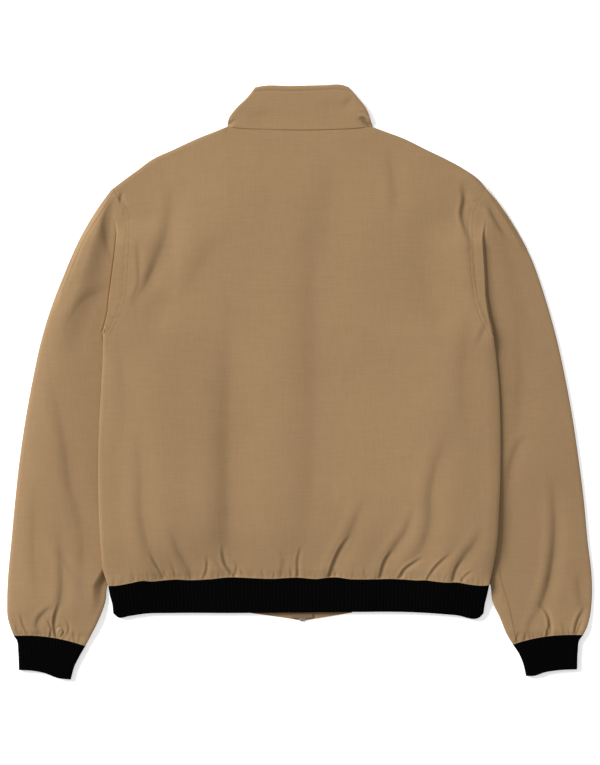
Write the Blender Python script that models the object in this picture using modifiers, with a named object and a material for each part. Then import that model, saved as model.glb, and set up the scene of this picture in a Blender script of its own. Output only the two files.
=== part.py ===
"""Bomber jacket laid flat, face down, so that its back is uppermost.

+Y runs from the hem to the collar, +X to the right of the jacket as seen from above,
+Z is up, and the jacket lies on the plane z = 0.  Lengths in the tables are millimetres.
Every cloth piece is a wall: an outer surface that Solidify thickens inwards.
"""
import bpy
import math
import numpy as np

MM = 0.001

# Cloth and seams
SHELL_WALL = 2.0        # shell cloth and its lining, as one wall
RIB_WALL = 2.0          # doubled rib knit
COLLAR_WALL = 2.0       # two layers of shell with interfacing
SEAM_GAP = 0.3          # between neighbouring pieces
SHOULDER_GAP = 1.6      # the same where sleeve, front and back meet in a turned corner
ZIP_GAP = 4.0           # front edge to the centre front line
CENTRE_FRONT = 4.0      # x of the closed zip

# Thickness of each flattened tube where it lies at rest
BODY_STACK = 7.2
SLEEVE_STACK = 7.2
RIB_STACK = 6.2
COLLAR_STACK = 6.8
LAYER_GAP = 0.8         # body clear above the sleeve that it lies on
SLEEVE_CROWN = 2.4      # how far a sleeve puffs up between its edges
BLOUSE_RISE = 3.2       # how far the body puffs up above the hem rib
ARMHOLE_RISE = 6.0      # height of the folded cloth along each armhole
RAMP_WIDTH = 37.0       # over which the body climbs onto a sleeve
RAMP_LEAD = 16.0        # how far inside the sleeve's edge the climb is over
CORNER_RAMP = 24.0      # the same climb, at the hem's corners
ARMPIT_SPREAD = 1.3     # how fast the climb moves outwards above the armpit
CORNER_LEVEL = -264.0   # y below which the corners of the hem lie at one height

# Outlines: y, x on the left of the jacket, x on the right
BODY_SIDE = [(-277, -261, 259), (-257, -268, 264), (-229, -271, 269), (-173, -274, 273),
             (-117, -275, 275), (-61, -274, 275), (-6, -271, 273), (31, -269, 269.5), (65, -268, 265)]
ARMHOLE = [(65, -268, 265), (85, -257, 255), (111, -247, 246), (146, -243, 241), (182, -241, 239),
           (212, -240, 238), (236, -242, 240), (265, -256, 256)]
ARMHOLE_TURN = 236      # y where the armhole turns onto the shoulder
SHOULDER = [(265, -256, 256), (278, -239, 245), (291, -221, 227), (305, -202, 202),
            (319, -172, 173), (333, -142, 145), (350, -99, 99)]
SLEEVE_OUTER = [(-346, -391, 388), (-336, -395, 393), (-322, -399, 397), (-298, -400, 400),
                (-270, -399, 400), (-215, -394, 394), (-161, -389, 389), (-106, -383, 382),
                (-51, -375, 374), (4, -365, 364), (59, -353, 352), (113, -336, 337),
                (141, -325, 328), (168, -314, 318), (196, -301, 304), (223, -286, 288),
                (250, -268, 269), (265, -256, 256)]
SLEEVE_INNER = [(-360, -293, 292), (-347, -286, 284), (-325, -275, 275), (-300, -266, 264),
                (-278, -263, 261), (-257, -251, 249), (-229, -235, 234), (-188, -221, 220),
                (-147, -214, 213), (-106, -216, 214), (-58, -227, 225), (-17, -243, 241),
                (17, -257, 251), (45, -265, 261), (65, -268, 265)]
COLLAR_SIDE = [(350, -99, 99), (361, -97, 97), (374, -88, 92), (391, -71, 79), (404, -61, 68)]

# Outlines across the jacket: x, y
HEM_SEAM = [(-261, -277), (-240, -276.3), (-212, -273), (-177, -271.5), (-128, -269),
            (-86, -267), (-51, -269), (-9, -268.4), (23, -268.4), (50, -268), (80, -269.4),
            (142, -269.5), (176, -271.5), (210, -273.5), (238, -276.4), (259, -277)]
HEM_EDGE = [(-255, -315), (-248, -321), (-232, -319), (-212, -316), (-174, -315), (-86, -315),
            (26, -314), (176, -315), (214, -318), (246, -321), (252, -315)]
FRONT_HEM_SEAM = [(-261, -277), (-240, -276), (-206, -272), (-160, -269.5), (-72, -269),
                  (4, -269), (72, -269), (160, -269.5), (206, -272), (238, -276), (259, -277)]
FRONT_HEM_EDGE = [(-255, -315), (-248, -321), (-232, -319), (-212, -315.5), (-160, -314.5),
                  (-72, -314), (72, -314), (176, -314.5), (214, -317.5), (246, -321), (252, -315)]
FRONT_HEM_LOW = -269    # y of the front hem seam at the zip
NECK_FRONT_LOW = 274    # y of the front neck seam at the zip
TAB_EDGE = [(-72, -315), (-16, -322.5), (4, -325.5), (25, -322.5), (72, -315)]
NECK_BACK = [(-99, 350), (-86, 348), (-42, 346), (3, 345), (47, 346), (83, 348), (99, 350)]
NECK_FRONT = [(-99, 350), (-92, 328), (-77, 305), (-54, 287), (-27, 277), (4, 274),
              (33, 277), (58, 287), (79, 305), (93, 328), (99, 350)]
COLLAR_TOP = [(-61, 404), (-50, 406), (-12, 406), (32, 407), (60, 407), (68, 404)]
COLLAR_FRONT_TOP = [(-61, 404), (-57, 381), (-43, 357), (-21, 339), (4, 333),
                    (28, 339), (49, 357), (63, 381), (68, 404)]
CUFF_SEAM_LEFT = [(-391, -346), (-362, -346), (-336, -349), (-313, -354), (-293, -360)]
CUFF_SEAM_RIGHT = [(292, -358), (308, -353), (338, -347), (363, -345), (388, -345)]
CUFF_EDGE_LEFT = [(-384, -393), (-365, -394), (-349, -397), (-330, -404), (-313, -406)]
CUFF_EDGE_RIGHT = [(310, -401), (320, -401), (336, -396), (357, -393), (380, -392)]

# Outlines down the sides of the rib pieces, from the seam to the free edge: x, y
HEM_SIDE_LEFT = [(-261, -277), (-259, -290), (-256, -303), (-255, -315)]
HEM_SIDE_RIGHT = [(259, -277), (256.5, -290), (253.5, -303), (252, -315)]
CUFF_OUTER_LEFT = [(-391, -346), (-387, -352), (-385, -368), (-384, -393)]
CUFF_INNER_LEFT = [(-293, -360), (-301, -374), (-308, -388), (-313, -406)]
CUFF_INNER_RIGHT = [(292, -358), (300, -370), (306, -384), (310, -401)]
CUFF_OUTER_RIGHT = [(388, -345), (383, -352), (381, -366), (380, -392)]

# Cross-section of a turned edge: inset when rolled over, inset when it lies flat, height
# (height runs from 0 at the seam, halfway down the edge, to 1 on the outer face)
ROLL = [(0.0, 0.0, 0.0), (0.0, 1.0, 0.30), (0.8, 2.2, 0.76), (2.7, 4.2, 1.0)]

# Rib knit
RIB_HEIGHT = 0.6
HEM_RIBS = 104
CUFF_RIBS = 20

# Creases: name, half-width, depth at the first point, depth at the last point, path
BACK_CREASES = [
    ("hem A", 8, 0.6, 2.6, [(-236, -167), (-216, -206), (-206, -235), (-192, -267)]),
    ("hem B", 9, 0.4, 2.0, [(-179, -194), (-166, -225), (-151, -257), (-147, -270)]),
    ("hem C", 8, 0.6, 2.2, [(-123, -240), (-129, -257), (-132, -270)]),
    ("hem D", 9, 1.0, 2.8, [(-97, -150), (-104, -215), (-106, -234), (-90, -267)]),
    ("hem E", 9, 0.6, 2.2, [(5, -188), (1, -225), (-3, -248), (-3, -267)]),
    ("hem F", 9, 0.6, 3.0, [(71, -178), (71, -204), (54, -225), (43, -247), (39, -267)]),
    ("hem G", 10, 0.8, 2.8, [(199, -78), (153, -170), (140, -203), (126, -229), (107, -269)]),
    ("hem H", 9, 0.6, 2.2, [(180, -200), (159, -229), (148, -241), (134, -267)]),
    ("hem J", 8, 0.6, 2.4, [(210, -228), (198, -240), (183, -254), (171, -271)]),
    ("hem K", 9, 0.6, 2.6, [(243, -205), (232, -231), (219, -243), (203, -273)]),
    ("left chest", 26, 2.2, 1.2, [(-179, 286), (-179, 245), (-188, 194), (-211, 139), (-231, 101)]),
    ("left blade", 30, 1.0, 0.8, [(-80, 208), (-113, 193), (-135, 166), (-151, 139)]),
    ("left centre", 30, 1.0, 1.0, [(-75, 128), (-114, 50), (-97, -61), (-103, -151)]),
    ("centre", 36, 1.0, 0.8, [(20, 219), (14, -33), (3, -190)]),
    ("right shoulder", 16, 1.6, 1.2, [(221, 272), (225, 219), (230, 178), (232, 137)]),
]
SLEEVE_LEFT_CREASES = [
    ("elbow", 14, 1.0, 1.6, [(-338, -44), (-332, -83), (-320, -126), (-303, -198)]),
    ("cuff main", 9, 1.2, 3.0, [(-330, -209), (-327, -299), (-336, -331), (-334, -348)]),
    ("cuff outer", 8, 0.8, 2.2, [(-345, -300), (-357, -322), (-366, -345)]),
    ("cuff inner", 8, 0.4, 1.8, [(-300, -300), (-308, -330), (-310, -352)]),
]
SLEEVE_RIGHT_CREASES = [
    ("head", 12, 1.6, 1.4, [(262, 230), (279, 202), (295, 186)]),
    ("band", 14, 1.0, 1.6, [(311, -72), (299, -83), (287, -115), (283, -151)]),
    ("cuff main", 9, 1.0, 2.8, [(346, -141), (346, -236), (334, -304), (339, -346)]),
    ("cuff outer", 8, 0.6, 2.2, [(384, -305), (377, -326), (371, -344)]),
    ("cuff inner", 8, 0.4, 1.8, [(300, -305), (308, -330), (312, -350)]),
]


# ---------------------------------------------------------------- outlines and heights

def smooth_line(points, steps=12):
    """A smooth curve through the points: a dense line of x, y and the share of its length."""
    pts = np.array(points, dtype=float)
    ghost = np.vstack([2 * pts[0] - pts[1], pts, 2 * pts[-1] - pts[-2]])
    out = []
    for i in range(len(pts) - 1):
        p0, p1, p2, p3 = ghost[i:i + 4]
        len01, len12, len23 = (np.linalg.norm(b - a) for a, b in ((p0, p1), (p1, p2), (p2, p3)))
        m1 = ((p1 - p0) / len01 * len12 + (p2 - p1) / len12 * len01) / (len01 + len12) * len12
        m2 = ((p2 - p1) / len12 * len23 + (p3 - p2) / len23 * len12) / (len12 + len23) * len12
        t = np.linspace(0, 1, steps, endpoint=False)[:, None]
        out.append((2 * t**3 - 3 * t**2 + 1) * p1 + (t**3 - 2 * t**2 + t) * m1
                   + (-2 * t**3 + 3 * t**2) * p2 + (t**3 - t**2) * m2)
    return measured(np.vstack(out + [pts[-1:]]))


def measured(xy):
    """x, y and the share of the line's length at each point."""
    length = np.concatenate([[0], np.cumsum(np.hypot(*np.diff(xy[:, :2], axis=0).T))])
    return np.column_stack([xy[:, :2], length / length[-1]])


def straight(start, end):
    return measured(np.array([start[:2], end[:2]], dtype=float))


def joined(*lines, breaks):
    """Lines placed end to end; breaks are the shares of the whole at which each new one starts."""
    limits = [0.0, *breaks, 1.0]
    pieces = []
    for i, (line, low, high) in enumerate(zip(lines, limits, limits[1:])):
        piece = np.column_stack([line[:, :2], low + (high - low) * line[:, 2]])
        pieces.append(piece if i == 0 else piece[1:])
    return np.vstack(pieces)


def reversed_line(line):
    return np.column_stack([line[::-1, :2], 1 - line[::-1, 2]])


def shifted(line, dx, dy):
    return line + np.array([dx, dy, 0])


def edge_line(table, side):
    """One side of an outline table, from its first row to its last."""
    column = 1 if side == "left" else 2
    return smooth_line([(row[column], row[0]) for row in table])


def at_share(line, share):
    """Points of a line at the given shares."""
    return np.stack([np.interp(share, line[:, 2], line[:, 0]),
                     np.interp(share, line[:, 2], line[:, 1])], axis=-1)


def between(line, low_x, high_x):
    """The stretch of a line that runs in +x between two values of x, ending exactly there."""
    x, y = line[:, 0], line[:, 1]
    low_x, high_x = max(low_x, x[0]), min(high_x, x[-1])
    inside = (x > low_x + 0.01) & (x < high_x - 0.01)
    xs = np.concatenate([[low_x], x[inside], [high_x]])
    return measured(np.stack([xs, np.interp(xs, x, y)], axis=-1))


def moved(line, distance):
    """The line moved sideways, to the right of its direction when the distance is positive."""
    along = np.gradient(line[:, :2], axis=0)
    along /= np.linalg.norm(along, axis=1)[:, None]
    return line + distance * np.column_stack([along[:, 1], -along[:, 0], 0 * line[:, 0]])


def edge_x(table, side, y):
    """x of an outline table's edge at height y."""
    rows = sorted(table)
    column = 1 if side == "left" else 2
    return np.interp(y, [r[0] for r in rows], [r[column] for r in rows])


def ease(t):
    """0 below 0, 1 above 1, and smooth between."""
    t = np.clip(t, 0, 1)
    return t * t * (3 - 2 * t)


def crease_depth(x, y, creases):
    """How far the troughs of a crease table lower the cloth."""
    depth = np.zeros(np.broadcast(x, y).shape)
    for _, width, start_depth, end_depth, path in creases:
        line = smooth_line(path, 6)
        near = np.full(depth.shape, 1e9)
        deep = np.zeros(depth.shape)
        for (ax, ay, share_a), (bx, by, share_b) in zip(line, line[1:]):
            t = np.clip(((x - ax) * (bx - ax) + (y - ay) * (by - ay))
                        / ((bx - ax) ** 2 + (by - ay) ** 2), 0, 1)
            away = np.hypot(x - ax - t * (bx - ax), y - ay - t * (by - ay))
            along = share_a + t * (share_b - share_a)
            closer = away < near
            near = np.where(closer, away, near)
            deep = np.where(closer, start_depth + (end_depth - start_depth) * along, deep)
        depth += deep * np.exp(-(near / width) ** 2)
    return depth


def sleeve_edge(x, y):
    """Distance from the middle to the sleeve's inner edge, on the side of x."""
    left = -edge_x(SLEEVE_INNER, "left", y)
    right = edge_x(SLEEVE_INNER, "right", y)
    inner = np.where(np.asarray(x) < 0, left, right)
    above_armpit = np.clip(np.asarray(y) - ARMHOLE[0][0], 0, None)
    return inner + ARMPIT_SPREAD * above_armpit


def body_lift(x, y):
    """How far the body is raised where it lies on a sleeve; only its corner is at the hem."""
    level = np.maximum(y, CORNER_LEVEL)
    width = CORNER_RAMP + (RAMP_WIDTH - CORNER_RAMP) * ease((level - CORNER_LEVEL) / 60)
    share = ease((np.abs(x) - sleeve_edge(x, level) + RAMP_LEAD + width) / width)
    return (SLEEVE_STACK + LAYER_GAP) * share


def armhole_x(x, y):
    """Distance from the middle to the armhole seam, on the side of x."""
    left = -edge_x(BODY_SIDE[:-1] + ARMHOLE, "left", y)
    right = edge_x(BODY_SIDE[:-1] + ARMHOLE, "right", y)
    return np.where(np.asarray(x) < 0, left, right)


def armhole_fold(y):
    """Share of the armhole's fold height, from the armpit up to the shoulder."""
    return 1 - ease((np.asarray(y) - 185) / 45)


def hem_y(x):
    return np.interp(x, [p[0] for p in HEM_SEAM], [p[1] for p in HEM_SEAM])


def back_height(x, y):
    """Outer face of the back."""
    above_hem = y - hem_y(x)
    lift = body_lift(x, y)
    puff = BLOUSE_RISE * ease(above_hem / 26) * (1 - ease((above_hem - 40) / 110))
    tuck = (BODY_STACK - RIB_STACK) * (1 - ease(above_hem / 10))
    inside = armhole_x(x, y) - np.abs(x)
    fold = ARMHOLE_RISE * armhole_fold(y) * (1 - ease((inside - 5) / 70)) * ease((y - 20) / 60)
    fold *= 1 - lift / (SLEEVE_STACK + LAYER_GAP)
    trough = np.minimum(crease_depth(x, y, BACK_CREASES) * ease(above_hem / 6), 1.9 + puff + fold)
    return lift + BODY_STACK - tuck + puff + fold - trough


def sleeve_height(x, y, creases):
    """Outer face of a sleeve's back panel."""
    outer = np.where(x < 0, -edge_x(SLEEVE_OUTER, "left", y), edge_x(SLEEVE_OUTER, "right", y))
    limit = np.minimum(outer - 20, np.where(y < BODY_SIDE[0][0], sleeve_edge(x, y), armhole_x(x, y)))
    across = np.clip((outer - np.abs(x)) / (outer - limit), 0, 1)
    crown = SLEEVE_CROWN * np.sin(np.pi * across)
    cuff_y = -352
    crown *= ease((y - cuff_y) / 50) * (1 - ease((y - 200) / 60))
    tuck = (SLEEVE_STACK - RIB_STACK) * (1 - ease((y - cuff_y - 2) / 12))
    outside = np.abs(x) - armhole_x(x, y)
    rise = ARMHOLE_RISE * armhole_fold(y) * ease((y - ARMHOLE[0][0]) / 18)
    fold = rise * (1 - ease((outside - 8) / 9))
    trough = np.minimum(crease_depth(x, y, creases) * ease((y - cuff_y) / 10), 1.6 + crown)
    return SLEEVE_STACK - tuck + crown + fold - trough


# ---------------------------------------------------------------- cloth grids

def fitted(line, start, end):
    """The line with its ends moved exactly onto two points."""
    share = line[:, 2:3]
    change = (start[:2] - line[0, :2]) * (1 - share) + (end[:2] - line[-1, :2]) * share
    return np.column_stack([line[:, :2] + change, share])


def patch(south, north, west, east):
    """The surface stretched between four outline curves, as a function of u and v."""
    west, east = fitted(west, south[0], north[0]), fitted(east, south[-1], north[-1])

    def point(u, v):
        u, v = np.broadcast_arrays(u, v)
        uu, vv = u[..., None], v[..., None]
        corners = ((1 - uu) * (1 - vv) * at_share(south, np.zeros_like(u))
                   + uu * (1 - vv) * at_share(south, np.ones_like(u))
                   + (1 - uu) * vv * at_share(north, np.zeros_like(u))
                   + uu * vv * at_share(north, np.ones_like(u)))
        return ((1 - vv) * at_share(south, u) + vv * at_share(north, u)
                + (1 - uu) * at_share(west, v) + uu * at_share(east, v) - corners)
    return point


def stations(inner, start=None, end=None, spread=True):
    """Places along one direction of a grid: (base, rolled inset, flat inset, height).

    inner holds the shares between the two ends; start and end are ROLL tables, or None
    where the edge lies plain.  spread makes room for the turned edges between the shares.
    """
    first = [(0.0, r, f, h) for r, f, h in start] if start else [(0.0, 0.0, 0.0, 1.0)]
    last = [(1.0, -r, -f, h) for r, f, h in reversed(end)] if end else [(1.0, 0.0, 0.0, 1.0)]
    reach_start = start[-1][1] if start else 0.0
    reach_end = end[-1][1] if end else 0.0
    if not spread:
        reach_start = reach_end = 0.0
    middle = [(f, reach_start * (1 - f) - reach_end * f, reach_start * (1 - f) - reach_end * f, 1.0)
              for f in inner]
    return np.array(first + middle + last)


def always(x, y):
    return np.ones(np.shape(x))


def cloth_grid(surface, columns, rows, west_roll=always, east_roll=always, top_roll=always):
    """x, y and edge height of every grid point (rows by columns).

    Each roll function says how far the cloth turns over at that edge: 1 is a fold, 0 a flat seam.
    """
    base_u, base_v = columns[:, 0][None, :], rows[:, 0][:, None]
    width = np.linalg.norm(surface(np.ones_like(base_v), base_v) - surface(0 * base_v, base_v), axis=-1)
    height = np.linalg.norm(surface(base_u, np.ones_like(base_u)) - surface(base_u, 0 * base_u), axis=-1)
    here = surface(base_u, base_v)
    hx, hy = here[..., 0], here[..., 1]
    side = np.where(base_u < 0.5, west_roll(hx, hy), east_roll(hx, hy))
    top = top_roll(hx, hy)
    inset_u = columns[:, 2] + (columns[:, 1] - columns[:, 2]) * side
    inset_v = rows[:, 2][:, None] + (rows[:, 1] - rows[:, 2])[:, None] * top
    xy = surface(base_u + inset_u / width, base_v + inset_v / height)
    level = (1 - side * (1 - columns[:, 3])) * (1 - top * (1 - rows[:, 3][:, None]))
    return xy[..., 0], xy[..., 1], level


def shares(count):
    """Equal shares between two ends, the ends left out."""
    return [(i + 1) / (count + 1) for i in range(count)]


def material(name, rgb, roughness, metallic=0.0):
    mat = bpy.data.materials.new(name)
    mat.use_nodes = True
    shader = mat.node_tree.nodes["Principled BSDF"]
    shader.inputs["Base Color"].default_value = (*rgb, 1.0)
    shader.inputs["Roughness"].default_value = roughness
    shader.inputs["Metallic"].default_value = metallic
    return mat


def add_object(name, mesh, mat):
    obj = bpy.data.objects.new(name, mesh)
    jacket.objects.link(obj)
    mesh.materials.append(mat)
    mesh.shade_smooth()
    return obj


def grid_mesh(name, x, y, z, closed=False, upward=True):
    """A mesh of quads over a grid in millimetres; closed joins the last column to the first."""
    rows, columns = x.shape
    verts = np.stack([x, y, z], axis=-1).reshape(-1, 3) * MM
    faces = []
    for r in range(rows - 1):
        for c in range(columns if closed else columns - 1):
            d = (c + 1) % columns
            quad = (r * columns + c, r * columns + d, (r + 1) * columns + d, (r + 1) * columns + c)
            faces.append(quad if upward else quad[::-1])
    mesh = bpy.data.meshes.new(name)
    mesh.from_pydata(verts.tolist(), [], faces)
    mesh.update()
    return mesh


def thicken(obj, wall):
    wall_mod = obj.modifiers.new("wall", "SOLIDIFY")
    wall_mod.thickness = wall * MM
    wall_mod.offset = -1.0
    return obj


def panel(name, grid, outer, other, mat, upward):
    """A cloth panel; its edges turn towards the seam halfway to the opposite panel."""
    x, y, level = grid
    face, opposite = outer(x, y), other(x, y)
    gap = SEAM_GAP / 2 if upward else -SEAM_GAP / 2
    seam = (face + opposite) / 2 + gap
    z = seam + (face - seam) * level
    obj = add_object(name, grid_mesh(name, x, y, z, upward=upward), mat)
    return thicken(obj, SHELL_WALL)


# ---------------------------------------------------------------- pieces

def armhole_lines(side, gap=0.0, top_gap=0.0):
    """The armhole seam, as its long lower stretch and its short turn onto the shoulder."""
    column = 1 if side == "left" else 2
    sign = -1 if side == "left" else 1
    points = [(row[column] + sign * gap, row[0]) for row in ARMHOLE[:-1]]
    points.append((ARMHOLE[-1][column] + sign * top_gap, ARMHOLE[-1][0]))
    turn = [row[0] for row in ARMHOLE].index(ARMHOLE_TURN)
    return smooth_line(points[:turn + 1]), smooth_line(points[turn:])


def body_side_line(side):
    return joined(edge_line(BODY_SIDE, side), *armhole_lines(side), breaks=(ARMPIT_SHARE, TURN_SHARE))


def body_side_roll(x, y):
    """1 where the body's side edge is a turned fold, 0 along the armhole seam."""
    return 1 - ease((y - ARMHOLE[0][0]) / 44)


def shoulder_roll(x, y):
    """1 along the shoulders, 0 at the neck."""
    return ease((np.abs(x) - 99) / 40)


ARMPIT_SHARE, TURN_SHARE = 0.62, 0.93   # of a body panel's side edge
SIDE_ROWS = [0.02, 0.05, 0.09, 0.15, 0.24, 0.35, 0.48, 0.62, 0.77, 0.91]
ARMHOLE_ROWS = [0.0, 0.06, 0.12, 0.20, 0.31, 0.46, 0.63, 0.81]
BODY_ROWS = ([ARMPIT_SHARE * row for row in SIDE_ROWS]
             + [ARMPIT_SHARE + (TURN_SHARE - ARMPIT_SHARE) * row for row in ARMHOLE_ROWS]
             + [TURN_SHARE, 0.5 * (TURN_SHARE + 1)])
SHOULDER_SHARE = 0.56                   # of the top edge of a front
SHOULDER_COLUMNS = [0.08, 0.18, 0.30, 0.45, 0.62, 0.74, 0.86]
NECK_COLUMNS = [0.0, 0.12, 0.28, 0.46, 0.64, 0.82]


def make_back():
    north = joined(edge_line(SHOULDER, "left"), smooth_line(NECK_BACK),
                   reversed_line(edge_line(SHOULDER, "right")), breaks=(0.31, 0.69))
    surface = patch(smooth_line(HEM_SEAM), north, body_side_line("left"), body_side_line("right"))
    grid = cloth_grid(surface, stations(shares(40), ROLL, ROLL), stations(BODY_ROWS, None, ROLL, spread=False),
                      body_side_roll, body_side_roll, shoulder_roll)
    panel("back", grid, back_height, body_lift, shell, upward=True)


FRONT_COLUMNS = ([SHOULDER_SHARE * column for column in SHOULDER_COLUMNS]
                 + [SHOULDER_SHARE + (1 - SHOULDER_SHARE) * column for column in NECK_COLUMNS])


def front_neck_line(side):
    """The front neck seam of one side, from the shoulder to the zip."""
    sign = -1 if side == "left" else 1
    edge = CENTRE_FRONT + sign * ZIP_GAP
    half = [p for p in NECK_FRONT if sign * (p[0] - edge) > 1]
    half = half if side == "left" else half[::-1]
    return smooth_line(half + [(edge, NECK_FRONT_LOW)])


def make_front(side):
    sign = -1 if side == "left" else 1
    edge = CENTRE_FRONT + sign * ZIP_GAP
    hem = [p for p in FRONT_HEM_SEAM if sign * (p[0] - edge) > 1]
    south = smooth_line(hem + [(edge, FRONT_HEM_LOW)] if side == "left" else [(edge, FRONT_HEM_LOW)] + hem)
    north = joined(edge_line(SHOULDER, side), front_neck_line(side), breaks=(SHOULDER_SHARE,))
    outer, centre = body_side_line(side), straight((edge, FRONT_HEM_LOW), (edge, NECK_FRONT_LOW))
    rows = stations(BODY_ROWS, None, ROLL, spread=False)
    if side == "left":
        surface, columns = patch(south, north, outer, centre), stations(FRONT_COLUMNS, ROLL, None)
    else:
        surface = patch(south, reversed_line(north), centre, outer)
        columns = stations([1 - column for column in reversed(FRONT_COLUMNS)], None, ROLL)
    grid = cloth_grid(surface, columns, rows, body_side_roll, body_side_roll, shoulder_roll)
    panel("front_" + side, grid, body_lift, back_height, shell, upward=False)


SLEEVE_ARMPIT_SHARE = 0.71              # of a sleeve panel's inner edge
INNER_ROWS = [0.025, 0.065, 0.12, 0.20, 0.31, 0.44, 0.57, 0.70, 0.83, 0.94]
SLEEVE_ROWS = ([SLEEVE_ARMPIT_SHARE * row for row in INNER_ROWS]
               + [SLEEVE_ARMPIT_SHARE + (1 - SLEEVE_ARMPIT_SHARE) * row for row in ARMHOLE_ROWS])
SLEEVE_FOLD_COLUMNS = [0.03, 0.062, 0.085, 0.16]    # close columns over the fold at the armhole


def make_sleeve(side, creases, cuff_seam):
    """Each panel runs from the cuff up to the armhole, whose lower part is one of its long edges."""
    low, high = armhole_lines(side, SEAM_GAP, SHOULDER_GAP)
    inner = joined(edge_line(SLEEVE_INNER, side), low, breaks=(SLEEVE_ARMPIT_SHARE,))
    outer = edge_line(SLEEVE_OUTER, side)
    outer[-1, :2] = high[-1, :2]
    seam = smooth_line(cuff_seam)
    if side == "left":
        surface = patch(seam, reversed_line(high), outer, inner)
        roll = dict(west_roll=always, east_roll=body_side_roll)
    else:
        surface = patch(seam, high, inner, outer)
        roll = dict(west_roll=body_side_roll, east_roll=always)

    def floor(x, y):
        return 0 * x

    def top(x, y):
        return sleeve_height(x, y, creases)

    rows = stations(SLEEVE_ROWS)
    fold_columns = [1 - f for f in SLEEVE_FOLD_COLUMNS] if side == "left" else SLEEVE_FOLD_COLUMNS
    back = cloth_grid(surface, stations(sorted(shares(6) + fold_columns), ROLL, ROLL), rows, **roll)
    panel("sleeve_" + side + "_back", back, top, floor, shell, upward=True)
    front = cloth_grid(surface, stations(shares(3), ROLL, ROLL), rows, **roll)
    panel("sleeve_" + side + "_front", front, floor, top, shell, upward=False)


def tube_ring(parts, stack, lift=None):
    """x, y, z of a flattened tube's grid.  parts holds (surface, columns, rows, face):
    face is 1 for the upper half and -1 for the half on the floor."""
    xs, ys, zs = [], [], []
    for surface, columns, rows, face in parts:
        x, y, level = cloth_grid(surface, columns, rows)
        raised = 0 if lift is None else lift(x, rows[:, 0][:, None])
        xs.append(x)
        ys.append(y)
        zs.append(stack / 2 * (1 + face * level) + raised)
    return np.hstack(xs), np.hstack(ys), np.hstack(zs)


def raise_ribs(obj, wall, columns_in_row, rows_count, ribbed):
    """Applies the wall, then raises every second column of its outer points."""
    thicken(obj, wall)
    view = bpy.context.evaluated_depsgraph_get()
    mesh = bpy.data.meshes.new_from_object(obj.evaluated_get(view))
    obj.modifiers.clear()
    obj.data = mesh
    for row in range(rows_count):
        for column in ribbed:
            mesh.vertices[row * columns_in_row + column].co.z += RIB_HEIGHT * MM
    mesh.update()


HALF_TURN = ROLL[1:]    # a fold that carries on into the other half of the tube


def make_cuff(side, edge, seam, west, east):
    north = shifted(smooth_line(seam), 0, -SEAM_GAP)
    surface = patch(smooth_line(edge), north, smooth_line(west[::-1]), smooth_line(east[::-1]))
    rows = stations([])
    upper = stations(shares(2 * CUFF_RIBS - 1), HALF_TURN, HALF_TURN)
    lower = stations(shares(3), HALF_TURN, HALF_TURN)[::-1]
    x, y, z = tube_ring([(surface, upper, rows, 1), (surface, lower, rows, -1)], RIB_STACK)
    obj = add_object("cuff_" + side, grid_mesh("cuff_" + side, x, y, z, closed=True), knit)
    first = len(HALF_TURN)
    raise_ribs(obj, RIB_WALL, x.shape[1], len(rows), range(first, first + 2 * CUFF_RIBS - 1, 2))


def hem_corner_lift(x, v):
    """The rib rises with the body at its corners, and lies on the floor at its free edge."""
    return body_lift(x, BODY_SIDE[0][0] + 0 * x) * v


def make_hem_rib():
    seam, edge = shifted(smooth_line(HEM_SEAM), 0, -SEAM_GAP), smooth_line(HEM_EDGE)
    under_seam, under_edge = shifted(smooth_line(FRONT_HEM_SEAM), 0, -SEAM_GAP), smooth_line(FRONT_HEM_EDGE)
    west, east = smooth_line(HEM_SIDE_LEFT[::-1]), smooth_line(HEM_SIDE_RIGHT[::-1])
    tab_left, tab_right = TAB_EDGE[0][0] - SEAM_GAP, TAB_EDGE[-1][0] + SEAM_GAP
    seam_left, edge_left = between(under_seam, -300, tab_left), between(under_edge, -300, tab_left)
    seam_right, edge_right = between(under_seam, tab_right, 300), between(under_edge, tab_right, 300)
    under_left = patch(edge_left, seam_left, west, straight(edge_left[-1], seam_left[-1]))
    under_right = patch(edge_right, seam_right, straight(edge_right[0], seam_right[0]), east)
    rows = stations([])
    inner = [0.025, 0.058, 0.09, 0.123, 0.155, 0.187, 0.6]
    parts = [
        (under_left, stations(inner, HALF_TURN, None)[::-1], rows, -1),
        (patch(edge, seam, west, east), stations(shares(2 * HEM_RIBS - 1), HALF_TURN, HALF_TURN), rows, 1),
        (under_right, stations([1 - f for f in reversed(inner)], None, HALF_TURN)[::-1], rows, -1),
    ]
    x, y, z = tube_ring(parts, RIB_STACK, hem_corner_lift)
    obj = add_object("hem_rib", grid_mesh("hem_rib", x, y, z), knit)
    first = len(parts[0][1]) + len(HALF_TURN)
    raise_ribs(obj, RIB_WALL, x.shape[1], len(rows), range(first, first + 2 * HEM_RIBS - 1, 2))


def make_hem_tab(side):
    sign = -1 if side == "left" else 1
    front_edge = CENTRE_FRONT + sign * ZIP_GAP
    low, high = sorted([front_edge, TAB_EDGE[0 if side == "left" else -1][0]])
    south = between(smooth_line(TAB_EDGE), low, high)
    north = between(shifted(smooth_line(FRONT_HEM_SEAM), 0, -SEAM_GAP), low, high)
    surface = patch(south, north, straight(south[0], north[0]), straight(south[-1], north[-1]))
    x, y, _ = cloth_grid(surface, stations(shares(3)), stations([0.5]))
    obj = add_object("hem_tab_" + side, grid_mesh("hem_tab_" + side, x, y, 0 * x, upward=False), shell)
    thicken(obj, RIB_WALL)


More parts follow.
